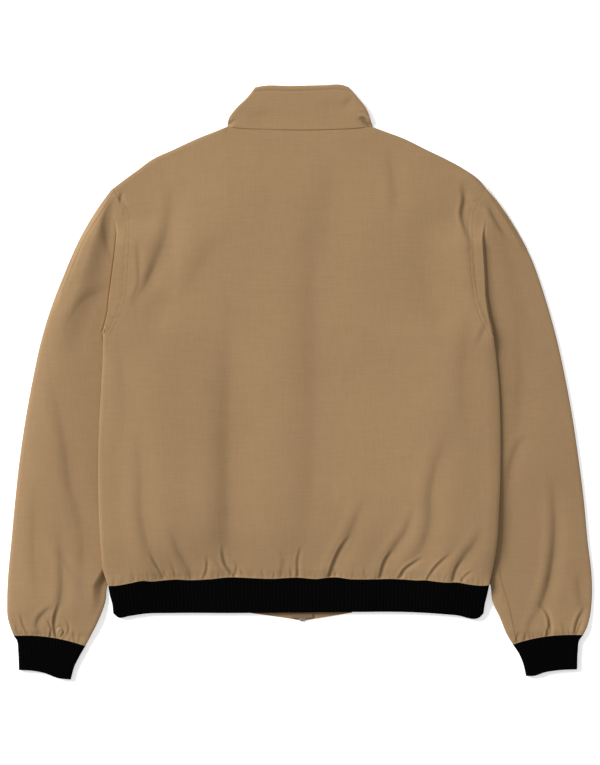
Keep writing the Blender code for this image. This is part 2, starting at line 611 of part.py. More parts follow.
def make_collar():
    """A band that runs from one front edge, round the back of the neck, to the other."""
    west = shifted(edge_line(COLLAR_SIDE, "left"), 0, SEAM_GAP)
    east = shifted(edge_line(COLLAR_SIDE, "right"), 0, SEAM_GAP)
    back_neck = shifted(smooth_line(NECK_BACK), 0, SEAM_GAP)
    left_neck = moved(front_neck_line("left"), -SEAM_GAP)
    right_neck = reversed_line(moved(front_neck_line("right"), SEAM_GAP))
    left_neck[0, :2], right_neck[-1, :2] = west[0, :2], east[0, :2]
    left_edge, right_edge = CENTRE_FRONT - ZIP_GAP, CENTRE_FRONT + ZIP_GAP
    left_neck[-1, 0], right_neck[0, 0] = left_edge, right_edge
    front_top = smooth_line(COLLAR_FRONT_TOP)
    left_top, right_top = between(front_top, -120, left_edge), between(front_top, right_edge, 120)
    left = patch(left_neck, left_top, west, straight(left_neck[-1], left_top[-1]))
    right = patch(right_neck, right_top, straight(right_neck[0], right_top[0]), east)
    rows = stations([0.12, 0.35, 0.65, 0.9])
    parts = [
        (left, stations(NECK_COLUMNS[1:], HALF_TURN, None)[::-1], rows, -1),
        (patch(back_neck, smooth_line(COLLAR_TOP), west, east),
         stations(shares(9), HALF_TURN, HALF_TURN), rows, 1),
        (right, stations([1 - column for column in reversed(NECK_COLUMNS[1:])], None, HALF_TURN)[::-1],
         rows, -1),
    ]
    x, y, z = tube_ring(parts, COLLAR_STACK)
    thicken(add_object("collar", grid_mesh("collar", x, y, z), shell), COLLAR_WALL)


# ---------------------------------------------------------------- the front zip

TAPE_WIDTH = 14.0
TAPE_LOW, TAPE_HIGH = 2.65, 3.3     # the tape lies inside the fronts
CHAIN_HALF = 2.2                    # half the width of the closed chain of teeth
CHAIN_LOW = 1.6
ZIP_BOTTOM, ZIP_TOP = -322.0, 329.0
PULL_AXIS_Y, PULL_AXIS_Z = 306.0, 0.7
PULL_LENGTH, PULL_WIDTH, PULL_NECK, PULL_THICK = 27.0, 6.2, 4.4, 1.0
SLIDER_LENGTH, SLIDER_WIDTH = 9.0, 6.8
SLIDER_LOW, SLIDER_HIGH = 1.5, 2.3
EAR_THICK = 0.8
FLOOR_CLEARANCE = 0.2


def make_zip_tape(side):
    sign = -1 if side == "left" else 1
    top_of_chain = PULL_AXIS_Y - 1.5
    # y, height of the underside of the chain
    sections = [(ZIP_BOTTOM, CHAIN_LOW), (top_of_chain - 1.5, CHAIN_LOW),
                (top_of_chain, TAPE_LOW - 0.05), (ZIP_TOP, TAPE_LOW - 0.05)]
    verts, faces = [], []
    for y, low in sections:
        for out, z in [(SEAM_GAP / 2, low), (CHAIN_HALF, low), (CHAIN_HALF, TAPE_LOW),
                       (TAPE_WIDTH, TAPE_LOW), (TAPE_WIDTH, TAPE_HIGH), (SEAM_GAP / 2, TAPE_HIGH)]:
            verts.append(((CENTRE_FRONT + sign * out) * MM, y * MM, z * MM))
    for row in range(len(sections) - 1):
        for i in range(6):
            j = (i + 1) % 6
            faces.append((row * 6 + i, row * 6 + j, row * 6 + 6 + j, row * 6 + 6 + i))
    last = 6 * (len(sections) - 1)
    faces += [tuple(range(5, -1, -1)), tuple(range(last, last + 6))]
    if side == "right":
        faces = [face[::-1] for face in faces]
    mesh = bpy.data.meshes.new("zip_tape_" + side)
    mesh.from_pydata(verts, [], faces)
    obj = bpy.data.objects.new("zip_tape_" + side, mesh)
    jacket.objects.link(obj)
    mesh.materials.append(tape_cloth)


def plate(name, outline, thickness):
    """A flat shape cut to an outline in millimetres, as a curve with thickness."""
    curve = bpy.data.curves.new(name, "CURVE")
    curve.dimensions = "2D"
    curve.fill_mode = "BOTH"
    curve.extrude = thickness / 2 * MM
    spline = curve.splines.new("POLY")
    spline.points.add(len(outline) - 1)
    for point, (across, along) in zip(spline.points, outline):
        point.co = (across * MM, along * MM, 0, 1)
    spline.use_cyclic_u = True
    curve.materials.append(metal)
    obj = bpy.data.objects.new(name, curve)
    jacket.objects.link(obj)
    return obj


def make_slider():
    """A channel section along the zip: its outer plate, and two ears that carry the pull."""
    half, ear = SLIDER_WIDTH / 2, SLIDER_WIDTH / 2 - EAR_THICK
    low, plate_low, high = FLOOR_CLEARANCE, SLIDER_LOW, SLIDER_HIGH
    section = [(-half, low), (-ear, low), (-ear, plate_low), (ear, plate_low), (ear, low), (half, low),
               (half, high), (-half, high)]
    obj = plate("zip_slider", section, SLIDER_LENGTH)
    obj.rotation_euler = (math.pi / 2, 0, 0)
    obj.location = (CENTRE_FRONT * MM, (PULL_AXIS_Y - 1 + SLIDER_LENGTH / 2) * MM, 0)


def make_pull():
    """The pull tab; its origin is on its hinge axis."""
    neck, half = PULL_NECK / 2, PULL_WIDTH / 2
    outline = [(-neck, 0.5), (-neck, -5.2), (-half, -6.5), (-half, -PULL_LENGTH + 1.5),
               (-half + 1.2, -PULL_LENGTH), (half - 1.2, -PULL_LENGTH), (half, -PULL_LENGTH + 1.5),
               (half, -6.5), (neck, -5.2), (neck, 0.5)]
    obj = plate("zip_pull", outline, PULL_THICK)
    obj.location = (CENTRE_FRONT * MM, PULL_AXIS_Y * MM, PULL_AXIS_Z * MM)


# ---------------------------------------------------------------- the jacket

for old in list(bpy.data.objects):
    bpy.data.objects.remove(old, do_unlink=True)

jacket = bpy.data.collections.new("bomber_jacket")
bpy.context.scene.collection.children.link(jacket)

shell = material("shell_cloth", (0.35, 0.22, 0.11), 0.8)
knit = material("rib_knit", (0.006, 0.006, 0.007), 0.9)
tape_cloth = material("zip_tape", (0.20, 0.13, 0.07), 0.85)
metal = material("zip_metal", (0.55, 0.52, 0.46), 0.35, 1.0)

make_back()
for hand in ("left", "right"):
    make_front(hand)
make_sleeve("left", SLEEVE_LEFT_CREASES, CUFF_SEAM_LEFT)
make_sleeve("right", SLEEVE_RIGHT_CREASES, CUFF_SEAM_RIGHT)
make_cuff("left", CUFF_EDGE_LEFT, CUFF_SEAM_LEFT, CUFF_OUTER_LEFT, CUFF_INNER_LEFT)
make_cuff("right", CUFF_EDGE_RIGHT, CUFF_SEAM_RIGHT, CUFF_INNER_RIGHT, CUFF_OUTER_RIGHT)
make_hem_rib()
make_collar()
for hand in ("left", "right"):
    make_hem_tab(hand)
    make_zip_tape(hand)
make_slider()
make_pull()
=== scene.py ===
"""The looks of a bomber jacket that lies flat on its front.

Lengths in the tables are millimetres.  +Y runs from the hem to the collar, +Z is up.
"""
import math

import bpy
import numpy as np
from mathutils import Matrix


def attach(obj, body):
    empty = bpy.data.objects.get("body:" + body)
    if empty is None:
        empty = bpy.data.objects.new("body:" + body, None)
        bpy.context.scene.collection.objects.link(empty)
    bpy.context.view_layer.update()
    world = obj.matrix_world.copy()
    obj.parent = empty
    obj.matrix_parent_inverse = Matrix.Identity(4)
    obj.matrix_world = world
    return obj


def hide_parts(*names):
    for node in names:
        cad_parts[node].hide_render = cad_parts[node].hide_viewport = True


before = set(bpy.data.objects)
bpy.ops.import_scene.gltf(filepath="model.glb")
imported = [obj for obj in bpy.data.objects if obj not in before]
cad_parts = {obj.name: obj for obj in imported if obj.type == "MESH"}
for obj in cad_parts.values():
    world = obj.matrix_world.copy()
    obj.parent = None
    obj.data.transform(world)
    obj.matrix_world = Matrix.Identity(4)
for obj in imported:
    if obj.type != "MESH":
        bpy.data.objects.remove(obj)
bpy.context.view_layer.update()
MM = 0.001


# ---------------------------------------------------------------- back
# One piece of closely woven cotton and nylon cloth, cut wide and gathered into the hem rib.
# It lies on the fronts, and its sides lie on the sleeves.  Outline tables hold y, left x, right x.

BODY_SIDE = [(-277, -261, 259), (-257, -268, 264), (-229, -271, 269), (-173, -274, 273),
             (-117, -275, 275), (-61, -274, 275), (-6, -271, 273), (31, -269, 269.5), (65, -268, 265)]
ARMHOLE = [(65, -268, 265), (85, -257, 255), (111, -247, 246), (146, -243, 241), (182, -241, 239),
           (212, -240, 238), (236, -242, 240), (265, -256, 256)]
ARMHOLE_TURN = 236
SHOULDER = [(265, -256, 256), (278, -239, 245), (291, -221, 227), (305, -202, 202),
            (319, -172, 173), (333, -142, 145), (350, -99, 99)]
SLEEVE_INNER = [(-360, -293, 292), (-347, -286, 284), (-325, -275, 275), (-300, -266, 264),
                (-278, -263, 261), (-257, -251, 249), (-229, -235, 234), (-188, -221, 220),
                (-147, -214, 213), (-106, -216, 214), (-58, -227, 225), (-17, -243, 241),
                (17, -257, 251), (45, -265, 261), (65, -268, 265)]
NECK_BACK = [(-99, 350), (-86, 348), (-42, 346), (3, 345), (47, 346), (83, 348), (99, 350)]
HEM_SEAM = [(-261, -277.4), (-249, -276.8), (-232, -273.8), (-213, -270.4), (-202, -271.4), (-188, -270.2),
            (-168, -269), (-152, -269.9), (-119, -268.4), (-98, -266.3), (-78, -266.6), (-54, -267.8),
            (-33, -268.1), (-18, -267), (0, -266.6), (12, -267.8), (24, -268.4), (38, -266.7), (53, -266.4),
            (65, -268.2), (92, -269), (113, -268.4), (137, -268.6), (160, -270.2), (175, -270.2),
            (184, -271.4), (202, -272.9), (214, -272.6), (232, -275.4), (247, -277), (259, -276.5)]

BODY_STACK, SLEEVE_STACK, RIB_STACK = 7.2, 7.2, 6.2     # thickness of each flattened tube
LAYER_GAP = 0.8
SEAM_GAP = 0.3
ARMHOLE_RISE, BLOUSE_RISE = 6.0, 3.2
RAMP_WIDTH, RAMP_LEAD = 110.0, 16.0                     # the body's climb onto a sleeve, its head start
CORNER_LEVEL = -264.0                                   # the hem's corners lie level below this y
ARMPIT_SPREAD = 1.3                                     # the climb moves outwards above the armpit
EDGE_ROLL, EDGE_FLAT, SEAM_DIP = 0.9, 4.2, 0.01         # a turned edge's inset and reach, a seam's dip
ARMPIT_Y, HEM_CORNER_Y = ARMHOLE[0][0], BODY_SIDE[0][0]
NECK_HALF, NECK_UNDER = 99, 0.8                         # half the neck, and its edge under the collar
BLOUSE_SWELL, BLOUSE_TOP, BLOUSE_FADE = 70, 60, 130     # heights above the hem where it puffs up
FOLD_TOP, FOLD_FADE = 185, 45                           # y where the armhole's fold starts to flatten
FOLD_CREST, FOLD_SLOPE = 5, 70                          # width of the fold, and of its inner slope
FOLD_START, FOLD_GROWTH = 20, 60                        # y where the fold starts, and its climb
BELLY_WIDTH, BELLY_SHARE = 160.0, 0.5                   # the back's belly between the sleeves
BELLY_HEM, BELLY_SHOULDER = 120, 150                    # it fades towards the hem and the shoulder,
BELLY_SIDE_Y, BELLY_SIDE_CLIMB, BELLY_SIDE = 40, 50, 100  # and beside the armholes
SIDE_DROP = (0.6, 2.0)                                  # how far its left and right sides sink
DROP_START, DROP_REACH, DROP_DEPTH, SIDE_WIDTH = 185, 70, 1.4, 18
DROP_TOP, DROP_FADE, DROP_HEM = 30, 40, 16
RIB_TUCK = 14                                           # the cloth dips into the rib over this height
ARMHOLE_STITCHES = (1.8, 7.0)                           # from the seam to each stitch row
STITCH_GROOVES = (0.1, 0.22)                            # their depth on the left and on the right
PUCKER, UNEVEN, NECK_DIP = 0.15, 0.35, 0.4              # heights of the back's small unevenness
BACK_COLUMNS, BACK_ROWS = 380, 245                      # threads of the panel's mesh
SIDE_BREAKS, TOP_BREAKS = (0.62, 0.93), (0.31, 0.69)    # shares of an edge at its corners
SHOULDER_X, SHOULDER_Y = (0, 99, 142, 173, 205, 227, 256), (347, 350, 333, 319, 305, 291, 265)

# Creases of the back: half-width, depths from start to end, share of ridge on the near side, path.
# A path follows the shaded wall of its crease.
BACK_CREASES = [
    (8, (0, 0.8, 1.2, 1.8, 1), 0.35, [(-223, -51), (-219, -120), (-217, -188), (-208, -226), (-194, -259)]),
    (1.5, (0, 0.9, 1.1, 0.6), 0.3, [(-207, -230), (-198, -246), (-191, -258), (-187, -266)]),
    (4.5, (0, 0.8, 1.1, 0.5), 0.4, [(-179, -194), (-172, -215), (-165, -233), (-154, -252), (-149, -266)]),
    (1.4, (0, 0.7, 0.5), 0.3, [(-191, -249), (-186, -258), (-180, -267)]),
    (1.4, (0, 0.6, 0.4), 0.3, [(-179, -245), (-173, -255), (-169, -267)]),
    (1.4, (0, 0.9, 0.9, 0.5), 0.4, [(-128, -237), (-127, -247), (-128, -257), (-132, -267)]),
    (1.6, (0, 0.5, 0.3), 0.3, [(-121, -237), (-113, -248), (-103, -261)]),
    (16, (0, 1.4, 2.3, 2.8, 3.1, 1.5), 0.3, [(-98, 127), (-102, 45), (-105, -51), (-105, -147),
     (-105, -209), (-101, -254)]),
    (1.8, (0, 1.1, 1.5, 1.3), 0.4, [(-106, -220), (-106, -233), (-102, -249), (-90, -265)]),
    (1.3, (0, 0.8, 0.6), 0.3, [(-90, -243), (-87, -252), (-90, -265)]),
    (1.3, (0, 0.7, 0.5), 0.3, [(-87, -248), (-82, -255), (-75, -266)]),
    (3, (0, 0.6, 0.5), 0.3, [(-27, -224), (-23, -243), (-27, -265)]),
    (1.4, (0, 0.5, 0.4), 0.3, [(-14, -250), (-12, -266)]),
    (20, (0, 1.5, 1.9, 2.0, 1.8, 0.9), 0.35, [(17, 305), (12, 182), (12, 45), (10, -92), (6, -174),
     (-1, -236)]),
    (1.6, (0, 0.8, 1, 0.8), 0.4, [(2, -221), (-3, -241), (-3, -266)]),
    (16, (0, 0.8, 0.8, 0), 0.3, [(36, 333), (35, 271), (31, 202), (24, 141)]),
    (6, (0, 0.9, 1.6, 1.4), 0.5, [(91, -150), (77, -183), (64, -213), (50, -240), (40, -265)]),
    (1.5, (0, 1.2, 1.5, 1.3), 0.4, [(70, -206), (55, -226), (45, -248), (39, -267)]),
    (1.2, (0, 0.7, 0.6), 0.3, [(43, -254), (48, -259), (47, -267)]),
    (5, (0, 0.9, 1.5, 1), 0.4, [(157, -161), (143, -203), (131, -221), (117, -243), (109, -266)]),
    (1.5, (0, 1.1, 1.2, 0.9), 0.4, [(127, -228), (117, -241), (109, -267)]),
    (8, (0, 1, 1.6, 1.9, 1.6, 0.6), 0.35, [(201, -65), (183, -117), (176, -155), (175, -191),
     (165, -224), (146, -248)]),
    (1.6, (0, 1.2, 1.4, 1), 0.5, [(170, -237), (155, -246), (143, -255), (135, -267)]),
    (1.2, (0, 0.7, 0.6), 0.3, [(142, -257), (138, -267)]),
    (5, (0, 0.6, 0.3), 0.3, [(214, -221), (201, -237), (188, -252)]),
    (1.6, (0, 1.1, 1.3, 1), 0.5, [(205, -233), (190, -246), (180, -258), (174, -270)]),
    (5, (0, 1, 1.7, 1.2), 0.5, [(246, -194), (241, -212), (226, -233), (213, -252), (207, -272)]),
    (1.5, (0, 0.9, 1.1, 0.8), 0.3, [(223, -239), (213, -253), (208, -272)]),
    (1.4, (0, 0.8, 0.8, 0.5), 0.4, [(238, -255), (226, -263), (219, -273)]),
    (1.2, (0, 0.6, 0.5), 0.3, [(219, -263), (223, -274)]),
    (1.3, (0, 0.5, 0.4), 0.3, [(87, -251), (89, -267)]),
    (1.3, (0, 0.5, 0.4), 0.3, [(201, -259), (197, -272)]),
    (1.3, (0, 0.5, 0.4), 0.3, [(-231, -257), (-227, -270)]),
    (1.3, (0, 0.5, 0.4), 0.3, [(-53, -252), (-50, -265)]),
    (8, (0, 0.7, 1.4, 1.6, 1), 0.4, [(-176, 281), (-180, 234), (-187, 196), (-198, 168), (-208, 146)]),
    (5, (0, 0.7, 0.9, 0.5, 0), 0.5, [(-195, 174), (-205, 148), (-214, 130), (-224, 115), (-232, 101)]),
    (2.5, (0, 0.5, 0.6, 0.4, 0), 0.3, [(-223, 198), (-221, 165), (-221, 135), (-231, 109)]),
    (12, (0, 0.6, 0.9, 0.6, 0), 0.3, [(-80, 208), (-113, 193), (-136, 165), (-153, 138), (-169, 105)]),
    (20, (0, 0.6, 0.7, 0), 0.2, [(-120, 113), (-134, 59), (-129, -10), (-120, -65)]),
    (7, (0, 0.8, 0.7, 0), 0.4, [(116, 324), (125, 285), (128, 250), (125, 220)]),
    (2.6, (0, 1.2, 1.4, 0.8, 0.3), 0.5, [(220, 274), (224, 250), (221, 234), (225, 212), (234, 191)]),
    (6.5, (0, 1, 1.2, 0.9, 0.5, 0), 0.3, [(221, 278), (225, 244), (229, 207), (235, 165), (239, 124),
     (243, 97)]),
    (1.5, (0, 0.6, 0), 0.3, [(228, 252), (235, 238)]),
    (6, (0, 0.5, 0.4), 0.3, [(160, 297), (192, 290), (221, 283)]),
    (3, (0, 0.7, 0), 0.4, [(257, 91), (249, 70), (239, 49)]),
    (1.5, (0, 0.8, 0.6), 0.4, [(-239, 265), (-245, 256), (-247, 246)]),
    (1.4, (0, 0.7, 0.5), 0.4, [(-250, 259), (-245, 250), (-239, 242)]),
    (9, (0, 0.6, 0.6, 0), 0.3, [(-250, 72), (-245, 17), (-242, -37), (-246, -92)]),
    (9, (0, 0.6, 0.7, 0), 0.3, [(231, 113), (224, 52), (221, -10), (228, -65)]),
]


def measured(xy):
    """x, y and the share of the line's length at each point."""
    length = np.concatenate([[0], np.cumsum(np.hypot(*np.diff(xy[:, :2], axis=0).T))])
    return np.column_stack([xy[:, :2], length / length[-1]])


def smooth_line(points, steps=12):
    """A smooth curve through the points."""
    pts = np.array(points, dtype=float)
    ghost = np.vstack([2 * pts[0] - pts[1], pts, 2 * pts[-1] - pts[-2]])
    out = []
    for i in range(len(pts) - 1):
        p0, p1, p2, p3 = ghost[i:i + 4]
        len01, len12, len23 = (np.linalg.norm(b - a) for a, b in ((p0, p1), (p1, p2), (p2, p3)))
        m1 = ((p1 - p0) / len01 * len12 + (p2 - p1) / len12 * len01) / (len01 + len12) * len12
        m2 = ((p2 - p1) / len12 * len23 + (p3 - p2) / len23 * len12) / (len12 + len23) * len12
        t = np.linspace(0, 1, steps, endpoint=False)[:, None]
        out.append((2 * t**3 - 3 * t**2 + 1) * p1 + (t**3 - 2 * t**2 + t) * m1
                   + (-2 * t**3 + 3 * t**2) * p2 + (t**3 - t**2) * m2)
    return measured(np.vstack(out + [pts[-1:]]))


def joined(*lines, breaks):
    """Lines placed end to end; breaks are the shares of the whole at which each new one starts."""
    limits = [0.0, *breaks, 1.0]
    pieces = []
    for i, (line, low, high) in enumerate(zip(lines, limits, limits[1:])):
        piece = np.column_stack([line[:, :2], low + (high - low) * line[:, 2]])
        pieces.append(piece if i == 0 else piece[1:])
    return np.vstack(pieces)


def reversed_line(line):
    """The same line, walked from its other end."""
    return np.column_stack([line[::-1, :2], 1 - line[::-1, 2]])


def shifted(line, dx, dy):
    """A line moved as a whole."""
    return line + np.array([dx, dy, 0])


def edge_line(table, side):
    """The smooth line of an outline table on one side."""
    column = 1 if side == "left" else 2
    return smooth_line([(row[column], row[0]) for row in table])


def half_width(table, x, y):
    """How far from the middle an outline lies at height y, on the side of x."""
    return np.where(x < 0, -edge_x(table, "left", y), edge_x(table, "right", y))


def edge_x(table, side, y):
    """x of an outline table's edge at height y."""
    rows = sorted(table)
    column = 1 if side == "left" else 2
    return np.interp(y, [r[0] for r in rows], [r[column] for r in rows])


def at_share(line, share):
    """Points of a measured line at shares of its length."""
    return np.stack([np.interp(share, line[:, 2], line[:, 0]),
                     np.interp(share, line[:, 2], line[:, 1])], axis=-1)


def ease(t):
    """A soft step: nothing below 0, one above 1."""
    t = np.clip(t, 0, 1)
    return t * t * (3 - 2 * t)


def fitted(line, start, end):
    """The line with its ends moved exactly onto two points."""
    share = line[:, 2:3]
    change = (start[:2] - line[0, :2]) * (1 - share) + (end[:2] - line[-1, :2]) * share
    return np.column_stack([line[:, :2] + change, share])


def cloth_patch(south, north, west, east):
    """The cloth stretched between its four cut edges, as a function of two shares."""
    west, east = fitted(west, south[0], north[0]), fitted(east, south[-1], north[-1])

    def point(u, v):
        u, v = np.broadcast_arrays(u, v)
        uu, vv = u[..., None], v[..., None]
        corners = ((1 - uu) * (1 - vv) * south[0, :2] + uu * (1 - vv) * south[-1, :2]
                   + (1 - uu) * vv * north[0, :2] + uu * vv * north[-1, :2])
        return ((1 - vv) * at_share(south, u) + vv * at_share(north, u)
                + (1 - uu) * at_share(west, v) + uu * at_share(east, v) - corners)
    return point


TURNED_EDGE = [(EDGE_ROLL * (1 - math.cos(a)), EDGE_FLAT * a / math.radians(90), math.sin(a))
               for a in np.radians([0, 10, 22, 36, 52, 70, 90])]


def stations(count, start=None, end=None, power=1.0):
    """Places of the threads along one direction: base share, turned inset, flat inset, level."""
    first = [(0.0, r, f, h) for r, f, h in start] if start else [(0.0, 0.0, 0.0, 1.0)]
    last = [(1.0, -r, -f, h) for r, f, h in reversed(end)] if end else [(1.0, 0.0, 0.0, 1.0)]
    reach_start = EDGE_FLAT if start else 0.0
    reach_end = EDGE_FLAT if end else 0.0
    middle = []
    for i in range(1, count):
        f = (i / count) ** power
        spread = reach_start * (1 - f) - reach_end * f
        middle.append((f, spread, spread, 1.0))
    return np.array(first + middle + last)


def always(x, y):
    """The roll of an edge that turns over along its whole length."""
    return np.ones(np.shape(x))


def cloth_grid(surface, columns, rows, west_roll=always, east_roll=always, top_roll=always):
    """x, y and edge level of every grid point; the rolls say how far each edge turns over."""
    base_u, base_v = columns[:, 0][None, :], rows[:, 0][:, None]
    width = np.linalg.norm(surface(np.ones_like(base_v), base_v) - surface(0 * base_v, base_v), axis=-1)
    height = np.linalg.norm(surface(base_u, np.ones_like(base_u)) - surface(base_u, 0 * base_u), axis=-1)
    here = surface(base_u, base_v)
    hx, hy = here[..., 0], here[..., 1]
    side = np.maximum(np.where(base_u < 0.5, west_roll(hx, hy), east_roll(hx, hy)), SEAM_DIP)
    top = np.maximum(top_roll(hx, hy), SEAM_DIP)
    inset_u = columns[:, 2] + (columns[:, 1] - columns[:, 2]) * side
    inset_v = rows[:, 2][:, None] + (rows[:, 1] - rows[:, 2])[:, None] * top
    xy = surface(base_u + inset_u / width, base_v + inset_v / height)
    level = (1 - side * (1 - columns[:, 3])) * (1 - top * (1 - rows[:, 3][:, None]))
    return xy[..., 0], xy[..., 1], level


def creased(x, y, creases):
    """How the cloth's height changes: each crease has a steep near wall and a long far one."""
    change = np.zeros(np.shape(x))
    for width, depths, ridge, path in creases:
        line = smooth_line(path, 5)
        reach = 6 * width
        low, high = line[:, :2].min(0) - reach, line[:, :2].max(0) + reach
        near = (x > low[0]) & (x < high[0]) & (y > low[1]) & (y < high[1])
        px, py = x[near], y[near]
        away, side, along = np.full(px.shape, 1e9), np.zeros(px.shape), np.zeros(px.shape)
        past_end = np.zeros(px.shape)
        for number, ((ax, ay, share_a), (bx, by, share_b)) in enumerate(zip(line, line[1:])):
            length = math.hypot(bx - ax, by - ay)
            ahead = ((px - ax) * (bx - ax) + (py - ay) * (by - ay)) / length ** 2
            t = np.clip(ahead, 0, 1)
            distance = np.hypot(px - ax - t * (bx - ax), py - ay - t * (by - ay))
            cross = (bx - ax) * (py - ay) - (by - ay) * (px - ax)
            open_end = (ahead < 0) & (number == 0) | (ahead > 1) & (number == len(line) - 2)
            closer = distance < away
            away = np.where(closer, distance, away)
            side = np.where(closer, np.sign(cross), side)
            along = np.where(closer, share_a + t * (share_b - share_a), along)
            past_end = np.where(closer, np.where(open_end, np.abs(ahead - t) * length, 0), past_end)
        depth = np.interp(along, np.linspace(0, 1, len(depths)), depths)
        depth = depth * np.exp(-(past_end / (1.5 * width)) ** 2)
        offset = side * np.sqrt(np.maximum(away ** 2 - past_end ** 2, 0)) - 0.7 * width
        trough = np.exp(-(offset / np.where(offset < 0, width, 2.3 * width)) ** 2)
        beside = np.exp(-((offset + 2.2 * width) / (1.3 * width)) ** 2)
        change[near] += depth * (ridge * beside - trough)
    return change


def gathers(along, above, rng, spacing, reach, depth=0.7):
    """Small uneven tucks where cloth is sewn shorter into a rib."""
    change = np.zeros(np.shape(along))
    low, high = along.min(), along.max()
    place = low + spacing
    while place < high:
        width = rng.uniform(0.8, 1.6)
        length = rng.uniform(0.35, 1.0) * reach
        lean = rng.uniform(-0.25, 0.25)
        tuck = rng.uniform(0.3, 1.0) * depth
        offset = along - place - lean * above
        fade = np.exp(-(np.clip(above, 0, None) / length) ** 2)
        change -= tuck * fade * np.exp(-(offset / np.where(offset < 0, width, 2 * width)) ** 2)
        place += spacing * rng.uniform(0.5, 1.6)
    return change


def sleeve_edge(x, y):
    """How far from the middle the sleeve under the body starts."""
    return half_width(SLEEVE_INNER, x, y) + ARMPIT_SPREAD * np.clip(y - ARMPIT_Y, 0, None)


def onto_sleeve(x, y, width):
    """Nothing between the sleeves and one on them, with an even climb of this width."""
    return ease((np.abs(x) - sleeve_edge(x, np.maximum(y, CORNER_LEVEL)) + RAMP_LEAD + width) / width)


def body_lift(x, y):
    """How far the body is raised where it lies on a sleeve."""
    return (SLEEVE_STACK + LAYER_GAP) * onto_sleeve(x, y, RAMP_WIDTH)


def armhole_x(x, y):
    """How far from the middle the body's side and the armhole seam above it lie."""
    return half_width(BODY_SIDE[:-1] + ARMHOLE, x, y)


def armhole_fold(y):
    """One where the armhole folds over the sleeve, none where it turns onto the shoulder."""
    return 1 - ease((y - FOLD_TOP) / FOLD_FADE)


def hem_y(x):
    """The seam of the hem rib, which waves."""
    return np.interp(x, *zip(*HEM_SEAM))


def back_height(x, y):
    """Outer face of the back: it bellies between the sleeves it lies on and drops at its sides."""
    above_hem = y - hem_y(x)
    lift = body_lift(x, y)
    puff = BLOUSE_RISE * ease(above_hem / BLOUSE_SWELL)
    puff = puff * (1 - ease((above_hem - BLOUSE_TOP) / BLOUSE_FADE))
    tuck = (BODY_STACK - RIB_STACK) * (1 - ease(above_hem / RIB_TUCK))
    inside = armhole_x(x, y) - np.abs(x)
    fold = ARMHOLE_RISE * armhole_fold(y) * (1 - ease((inside - FOLD_CREST) / FOLD_SLOPE))
    fold = fold * ease((y - FOLD_START) / FOLD_GROWTH)
    fold = fold * (1 - lift / (SLEEVE_STACK + LAYER_GAP))
    share = onto_sleeve(x, y, BELLY_WIDTH)
    shoulder = np.interp(np.abs(x), SHOULDER_X, SHOULDER_Y)
    free = ease(above_hem / BELLY_HEM) * ease((shoulder - y) / BELLY_SHOULDER)
    beside_armhole = ease((y - BELLY_SIDE_Y) / BELLY_SIDE_CLIMB) * (1 - ease(inside / BELLY_SIDE))
    free = free * (1 - beside_armhole)
    belly = (SLEEVE_STACK + LAYER_GAP) * (BELLY_SHARE + (1 - BELLY_SHARE) * share) - lift
    below_armhole = 1 - ease((y - DROP_TOP) / DROP_FADE)
    turned = np.clip((SIDE_WIDTH - inside) / SIDE_WIDTH, 0, 1) ** 2
    drop = DROP_DEPTH * ease((np.abs(x) - DROP_START) / DROP_REACH) + np.where(x < 0, *SIDE_DROP) * turned
    drop = drop * below_armhole * ease(above_hem / DROP_HEM)
    return lift + BODY_STACK - tuck + puff + fold + belly * free - drop


def back_face(x, y):
    """Outer face of the back with every crease, tuck and stitched groove."""
    above_hem = y - hem_y(x)
    low = creased(x, y, BACK_CREASES) * ease((above_hem + 2) / 5)
    tucks = gathers(x, above_hem, np.random.default_rng(7), spacing=5.5, reach=11.0)
    low += tucks * ease((above_hem + 1) / 3)
    wander = np.sin(x / 41 + 1.3 * np.sin(y / 97)) * np.sin(y / 63 + 0.8)
    low += UNEVEN * wander * ease(above_hem / 60)
    inside = armhole_x(x, y) - np.abs(x)
    along_armhole = ease((y - ARMPIT_Y - 5) / 20)
    for row in ARMHOLE_STITCHES:
        low -= np.where(x < 0, *STITCH_GROOVES) * along_armhole * np.exp(-((inside - row) / 0.9) ** 2)
    pucker = np.exp(-((inside - 4) / 3.5) ** 2) * np.sin(y / 2.1 + np.sin(y / 11))
    low += PUCKER * along_armhole * pucker
    below_neck = np.interp(x, *zip(*NECK_BACK)) - y
    low -= NECK_DIP * np.exp(-(below_neck / 8) ** 2) * ease((104 - np.abs(x)) / 6)
    return back_height(x, y) + low


def armhole_lines(side, gap=0.0, top_gap=0.0):
    """The armhole seam, as its long lower stretch and its short turn onto the shoulder."""
    column, sign = (1, -1) if side == "left" else (2, 1)
    points = [(row[column] + sign * gap, row[0]) for row in ARMHOLE[:-1]]
    points.append((ARMHOLE[-1][column] + sign * top_gap, ARMHOLE[-1][0]))
    turn = [row[0] for row in ARMHOLE].index(ARMHOLE_TURN)
    return smooth_line(points[:turn + 1]), smooth_line(points[turn:])


def body_side_line(side):
    """The body's edge from the hem to the armpit."""
    return joined(edge_line(BODY_SIDE, side), *armhole_lines(side), breaks=SIDE_BREAKS)


def body_side_roll(x, y):
    """The body's side turns over below the armpit, and is a seam above it."""
    return 1 - ease((y - ARMPIT_Y + 2) / 9)


def shoulder_roll(x, y):
    """The shoulder turns over outside the neck."""
    return ease((np.abs(x) - NECK_HALF) / 40)


def new_material(name):
    """A material with its node tree and its shader."""
    mat = bpy.data.materials.new(name)
    mat.use_nodes = True
    return mat, mat.node_tree, mat.node_tree.nodes["Principled BSDF"]


def set_inputs(tree, node, inputs):
    """Gives each input its value, or links it where the value is another node's output."""
    for key, value in inputs.items():
        if isinstance(value, bpy.types.NodeSocket):
            tree.links.new(value, node.inputs[key])
        else:
            node.inputs[key].default_value = value


